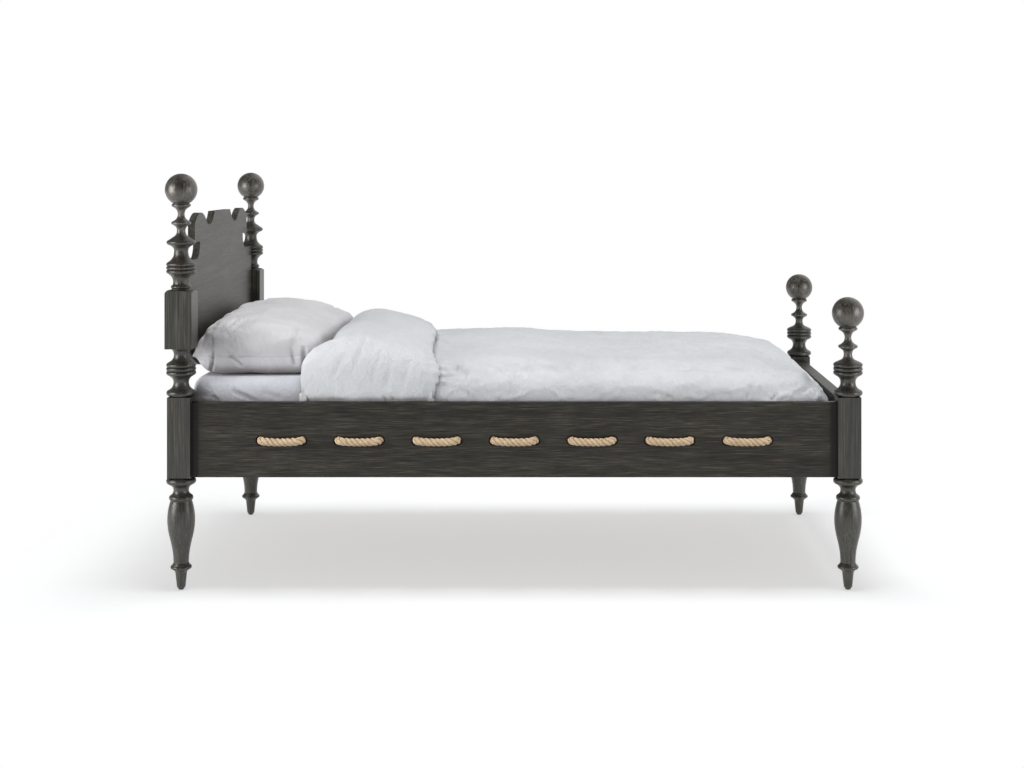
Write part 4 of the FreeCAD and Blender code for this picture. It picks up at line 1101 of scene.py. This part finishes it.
def path_rows():
    """The duvet's path, taken evenly: each row has its place on the path and its six values."""
    rows = []
    stations = [Vector(value) for value in duvet_path]
    for index in range(len(stations) - 1):
        before = stations[max(index - 1, 0)]
        start, end = stations[index], stations[index + 1]
        after = stations[min(index + 2, len(stations) - 1)]
        count = max(2, round(math.hypot(end[0] - start[0], end[1] - start[1]) / duvet_step))
        for step in range(count):
            t = step / count
            value = 0.5 * (2 * start + (end - before) * t
                           + (2 * before - 5 * start + 4 * end - after) * t ** 2
                           + (3 * start - before - 3 * end + after) * t ** 3)
            rows.append((index + t, value))
    rows.append((len(stations) - 1, stations[-1]))
    return rows


def duvet_row(place, values, sheet_top):
    """One row of points across the duvet, from the near tuck to the far one."""
    x, rise, side, crown, inset, drop = values
    top = sheet_top + rise
    room = (top - duvet_tuck_height) * duvet_room_share
    fit = min(1.0, room / (crown + drop))
    crown, drop = crown * fit, drop * fit
    lengths = (side - inset, 0.5 * math.pi * math.sqrt((inset ** 2 + drop ** 2) / 2),
               top - crown - drop - duvet_tuck_height)
    whole = sum(lengths)
    front = 1.0 - smooth(place, *front_span)
    hem = smooth(place, *hem_span) * (1.0 - smooth(place, *hem_end_span))
    bulge_at, bulge_width = duvet_bulge_shares
    swell_at, swell_width = duvet_swell_shares
    row = []
    for column in range(duvet_columns + 1):
        share = 2 * column / duvet_columns - 1
        at = abs(share) * whole
        if at < lengths[0]:
            y, z = at, top - crown * (at / lengths[0]) ** 2
        elif at < lengths[0] + lengths[1]:
            angle = (at - lengths[0]) / lengths[1] * math.pi / 2
            y = side - inset + inset * math.sin(angle) ** duvet_fullness
            z = top - crown - drop + drop * max(0.0, math.cos(angle)) ** duvet_fullness
        else:
            down = at - lengths[0] - lengths[1]
            y, z = side, top - crown - drop - down
        y = y + (min(y, duvet_rail_reach) - y) * (1 - smooth(z, *duvet_rail_heights))
        y *= math.copysign(1.0, share)
        reach = front * duvet_front_reach * smooth(abs(y), *duvet_front_band)
        turn = hem * duvet_hem_turn * (y + duvet_hem_pivot)
        bulge = duvet_hem_bulge * math.exp(-((share + bulge_at) / bulge_width) ** 2)
        swell = duvet_hem_swell * math.exp(-((share + swell_at) / swell_width) ** 2)
        row.append(Vector((x - reach - turn + hem * (bulge + swell), y, z)))
    return row


def refine(piece, soften=0):
    """Split a piece's faces once, smoothly, and even it out some times, as its new mesh."""
    modifier = piece.modifiers.new("refine", "SUBSURF")
    modifier.levels = 1
    if soften:
        even = piece.modifiers.new("even", "SMOOTH")
        even.iterations = soften
    graph = bpy.context.evaluated_depsgraph_get()
    made = piece.evaluated_get(graph)
    fine = bpy.data.meshes.new_from_object(made, preserve_all_data_layers=True, depsgraph=graph)
    piece.modifiers.clear()
    fine.name = piece.name
    piece.data = fine


def clear_of(spot, low, high, radius, gap):
    """A place moved out, where it must, to stay a gap away from a block with rounded edges."""
    middle, half = (low + high) / 2, (high - low) / 2
    away = spot - middle
    over = Vector([max(0.0, abs(away[axis]) - half[axis] + radius) for axis in range(3)])
    reach = over.length
    if reach == 0.0 or reach >= radius + gap:
        return spot
    out = over * ((radius + gap) / reach - 1.0)
    return spot + Vector([math.copysign(out[axis], away[axis]) for axis in range(3)])


def pucker_duvet(piece):
    """Fine stitched puckers along the fold's hem, and gathers where the sides go behind the rails."""
    places = piece.data.attributes["place"].data
    runs = piece.data.attributes["run"].data
    arcs = piece.data.attributes["arc"].data
    moves = []
    for index, vertex in enumerate(piece.data.vertices):
        place, arc, spot = places[index].value, arcs[index].value, vertex.co
        scale_x, scale_arc, level = pucker_wander_scales
        wander = noise.noise(Vector((spot.x * scale_x, arc * scale_arc, level)))
        main = smooth(place, *main_span)
        wide = duvet_pucker_reach * (1.0 + pucker_main_share * main)
        hem = math.exp(-abs(runs[index].value) / wide)
        pucker = math.sin(arc * pucker_scales[0] + pucker_wanders[0] * wander)
        pucker += pucker_fine_share * math.sin(arc * pucker_scales[1] - pucker_wanders[1] * wander)
        pucker *= (pucker_base_share + wander) * hem * duvet_pucker * smooth(spot.z, *pucker_heights)
        above = max(0.0, spot.z - pleat_height)
        beside = math.exp(-above / pleat_reach) * smooth(abs(spot.y), *pleat_band)
        pleat = noise.noise(Vector((spot.x * pleat_scale + pleat_lean * above, *pleat_slice)))
        lean = Vector((spot.x * ridge_scale + spot.y * ridge_leans[0],
                       spot.y * ridge_scale - spot.x * ridge_leans[1], spot.z * ridge_scale))
        lean += Vector((wander, -wander, wander)) * ridge_wander
        ridge = max(0.0, 1.0 - ridge_sharpness * abs(noise.noise(lean)))
        ridge *= ridge_shares[0] + ridge_shares[1] * main
        fine = noise.noise(lean * fine_scale) * (fine_shares[0] + fine_shares[1] * main)
        crease = crease_depth(spot, duvet_creases if place > duvet_crease_index else fold_creases)
        crumple = duvet_ridge * ridge + duvet_fine * fine - crease
        moves.append(vertex.normal * (pucker - beside * pleat_depth * max(0.0, pleat) + crumple))
    low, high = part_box("fitted_sheet")
    for vertex, move in zip(piece.data.vertices, moves):
        vertex.co = clear_of(vertex.co + move, low, high, edge_radius, duvet_thickness + duvet_least_gap)


def make_duvet(material):
    """One quilt over the mattress: its head end turned back in a full fold, its sides and foot tucked in."""
    sheet_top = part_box("fitted_sheet")[1].z
    rows = path_rows()
    grid = [duvet_row(place, values, sheet_top) for place, values in rows]
    points = [point for row in grid for point in row]
    columns = duvet_columns + 1
    for point in points:
        for height, scale_x, scale_y, level in duvet_waves:
            point.z += height * noise.noise(Vector((point.x * scale_x, point.y * scale_y, level)))
    duvet = new_piece("duvet_quilt", points, grid_faces(len(grid), columns, flip=True), material)
    place_data = duvet.data.attributes.new("place", "FLOAT", "POINT").data
    arc_data = duvet.data.attributes.new("arc", "FLOAT", "POINT").data
    run_data = duvet.data.attributes.new("run", "FLOAT", "POINT").data
    hem_x = duvet_path[duvet_hem_index][0]
    fold, main, foot, lip = duvet_settle_shares
    pins, shares = [], []
    for row, (place, values) in enumerate(rows):
        arc = 0.0
        share = fold + main * smooth(place, *hem_end_span) - foot * smooth(place, *foot_span)
        share -= lip * smooth(place, *lip_span) * (1 - smooth(place, *lip_end_span))
        held = row < duvet_pin_rows or row >= len(rows) - duvet_pin_rows
        held = held or abs(place - duvet_crease_index) < crease_pin_span
        for column in range(columns):
            index = row * columns + column
            edge = min(column, columns - 1 - column)
            if held or edge < duvet_pin_columns:
                pins.append((index, 1.0))
            if column:
                arc += (points[index] - points[index - 1]).length
            place_data[index].value = place
            arc_data[index].value = arc
            run_data[index].value = values[0] - hem_x if place > duvet_peak_index else 1.0
            shares.append(share)
    settle(duvet, duvet_frames, *duvet_cloth, pins, duvet_cap, shares)
    low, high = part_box("fitted_sheet")
    for vertex in duvet.data.vertices:
        vertex.co = clear_of(vertex.co, low, high, edge_radius, duvet_thickness + duvet_clearance)
    refine(duvet, soften=duvet_soften)
    pucker_duvet(duvet)
    shell = duvet.modifiers.new("thickness", "SOLIDIFY")
    shell.thickness = duvet_thickness
    shell.offset = -1.0
    return duvet


make_camera()
make_world()
make_lamps(make_floor())
paint_frame()

rope_fibre = manila("manila_rope")
for side_name, side_sign in (("near", -1), ("far", 1)):
    rope = make_rope("rope_strands_" + side_name, side_sign, rope_fibre)
    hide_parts("rope_" + side_name)
    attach(rope, "frame")

mattress = make_mattress(ticking("ticking"))
fitted_sheet = make_fitted_sheet(cotton("cotton_sheet", *sheet_colours, reach=pillow_shade_reach))
pillow = make_pillow(cotton("pillow_cotton", *pillow_colours, reach=pillow_shade_reach))
duvet = make_duvet(cotton("duvet_cotton", *duvet_colours, crinkled=duvet_crinkle))
for piece, node, slot, body in ((mattress, "mattress", "ticking", "bedding"),
                                (fitted_sheet, "fitted_sheet", "cotton_sheet", "bedding"),
                                (pillow, "pillow", "pillow_cotton", "pillow"),
                                (duvet, "duvet", "duvet_cotton", "bedding")):
    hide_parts(node)
    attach(piece, body)

bpy.context.scene.view_settings.view_transform = "Standard"
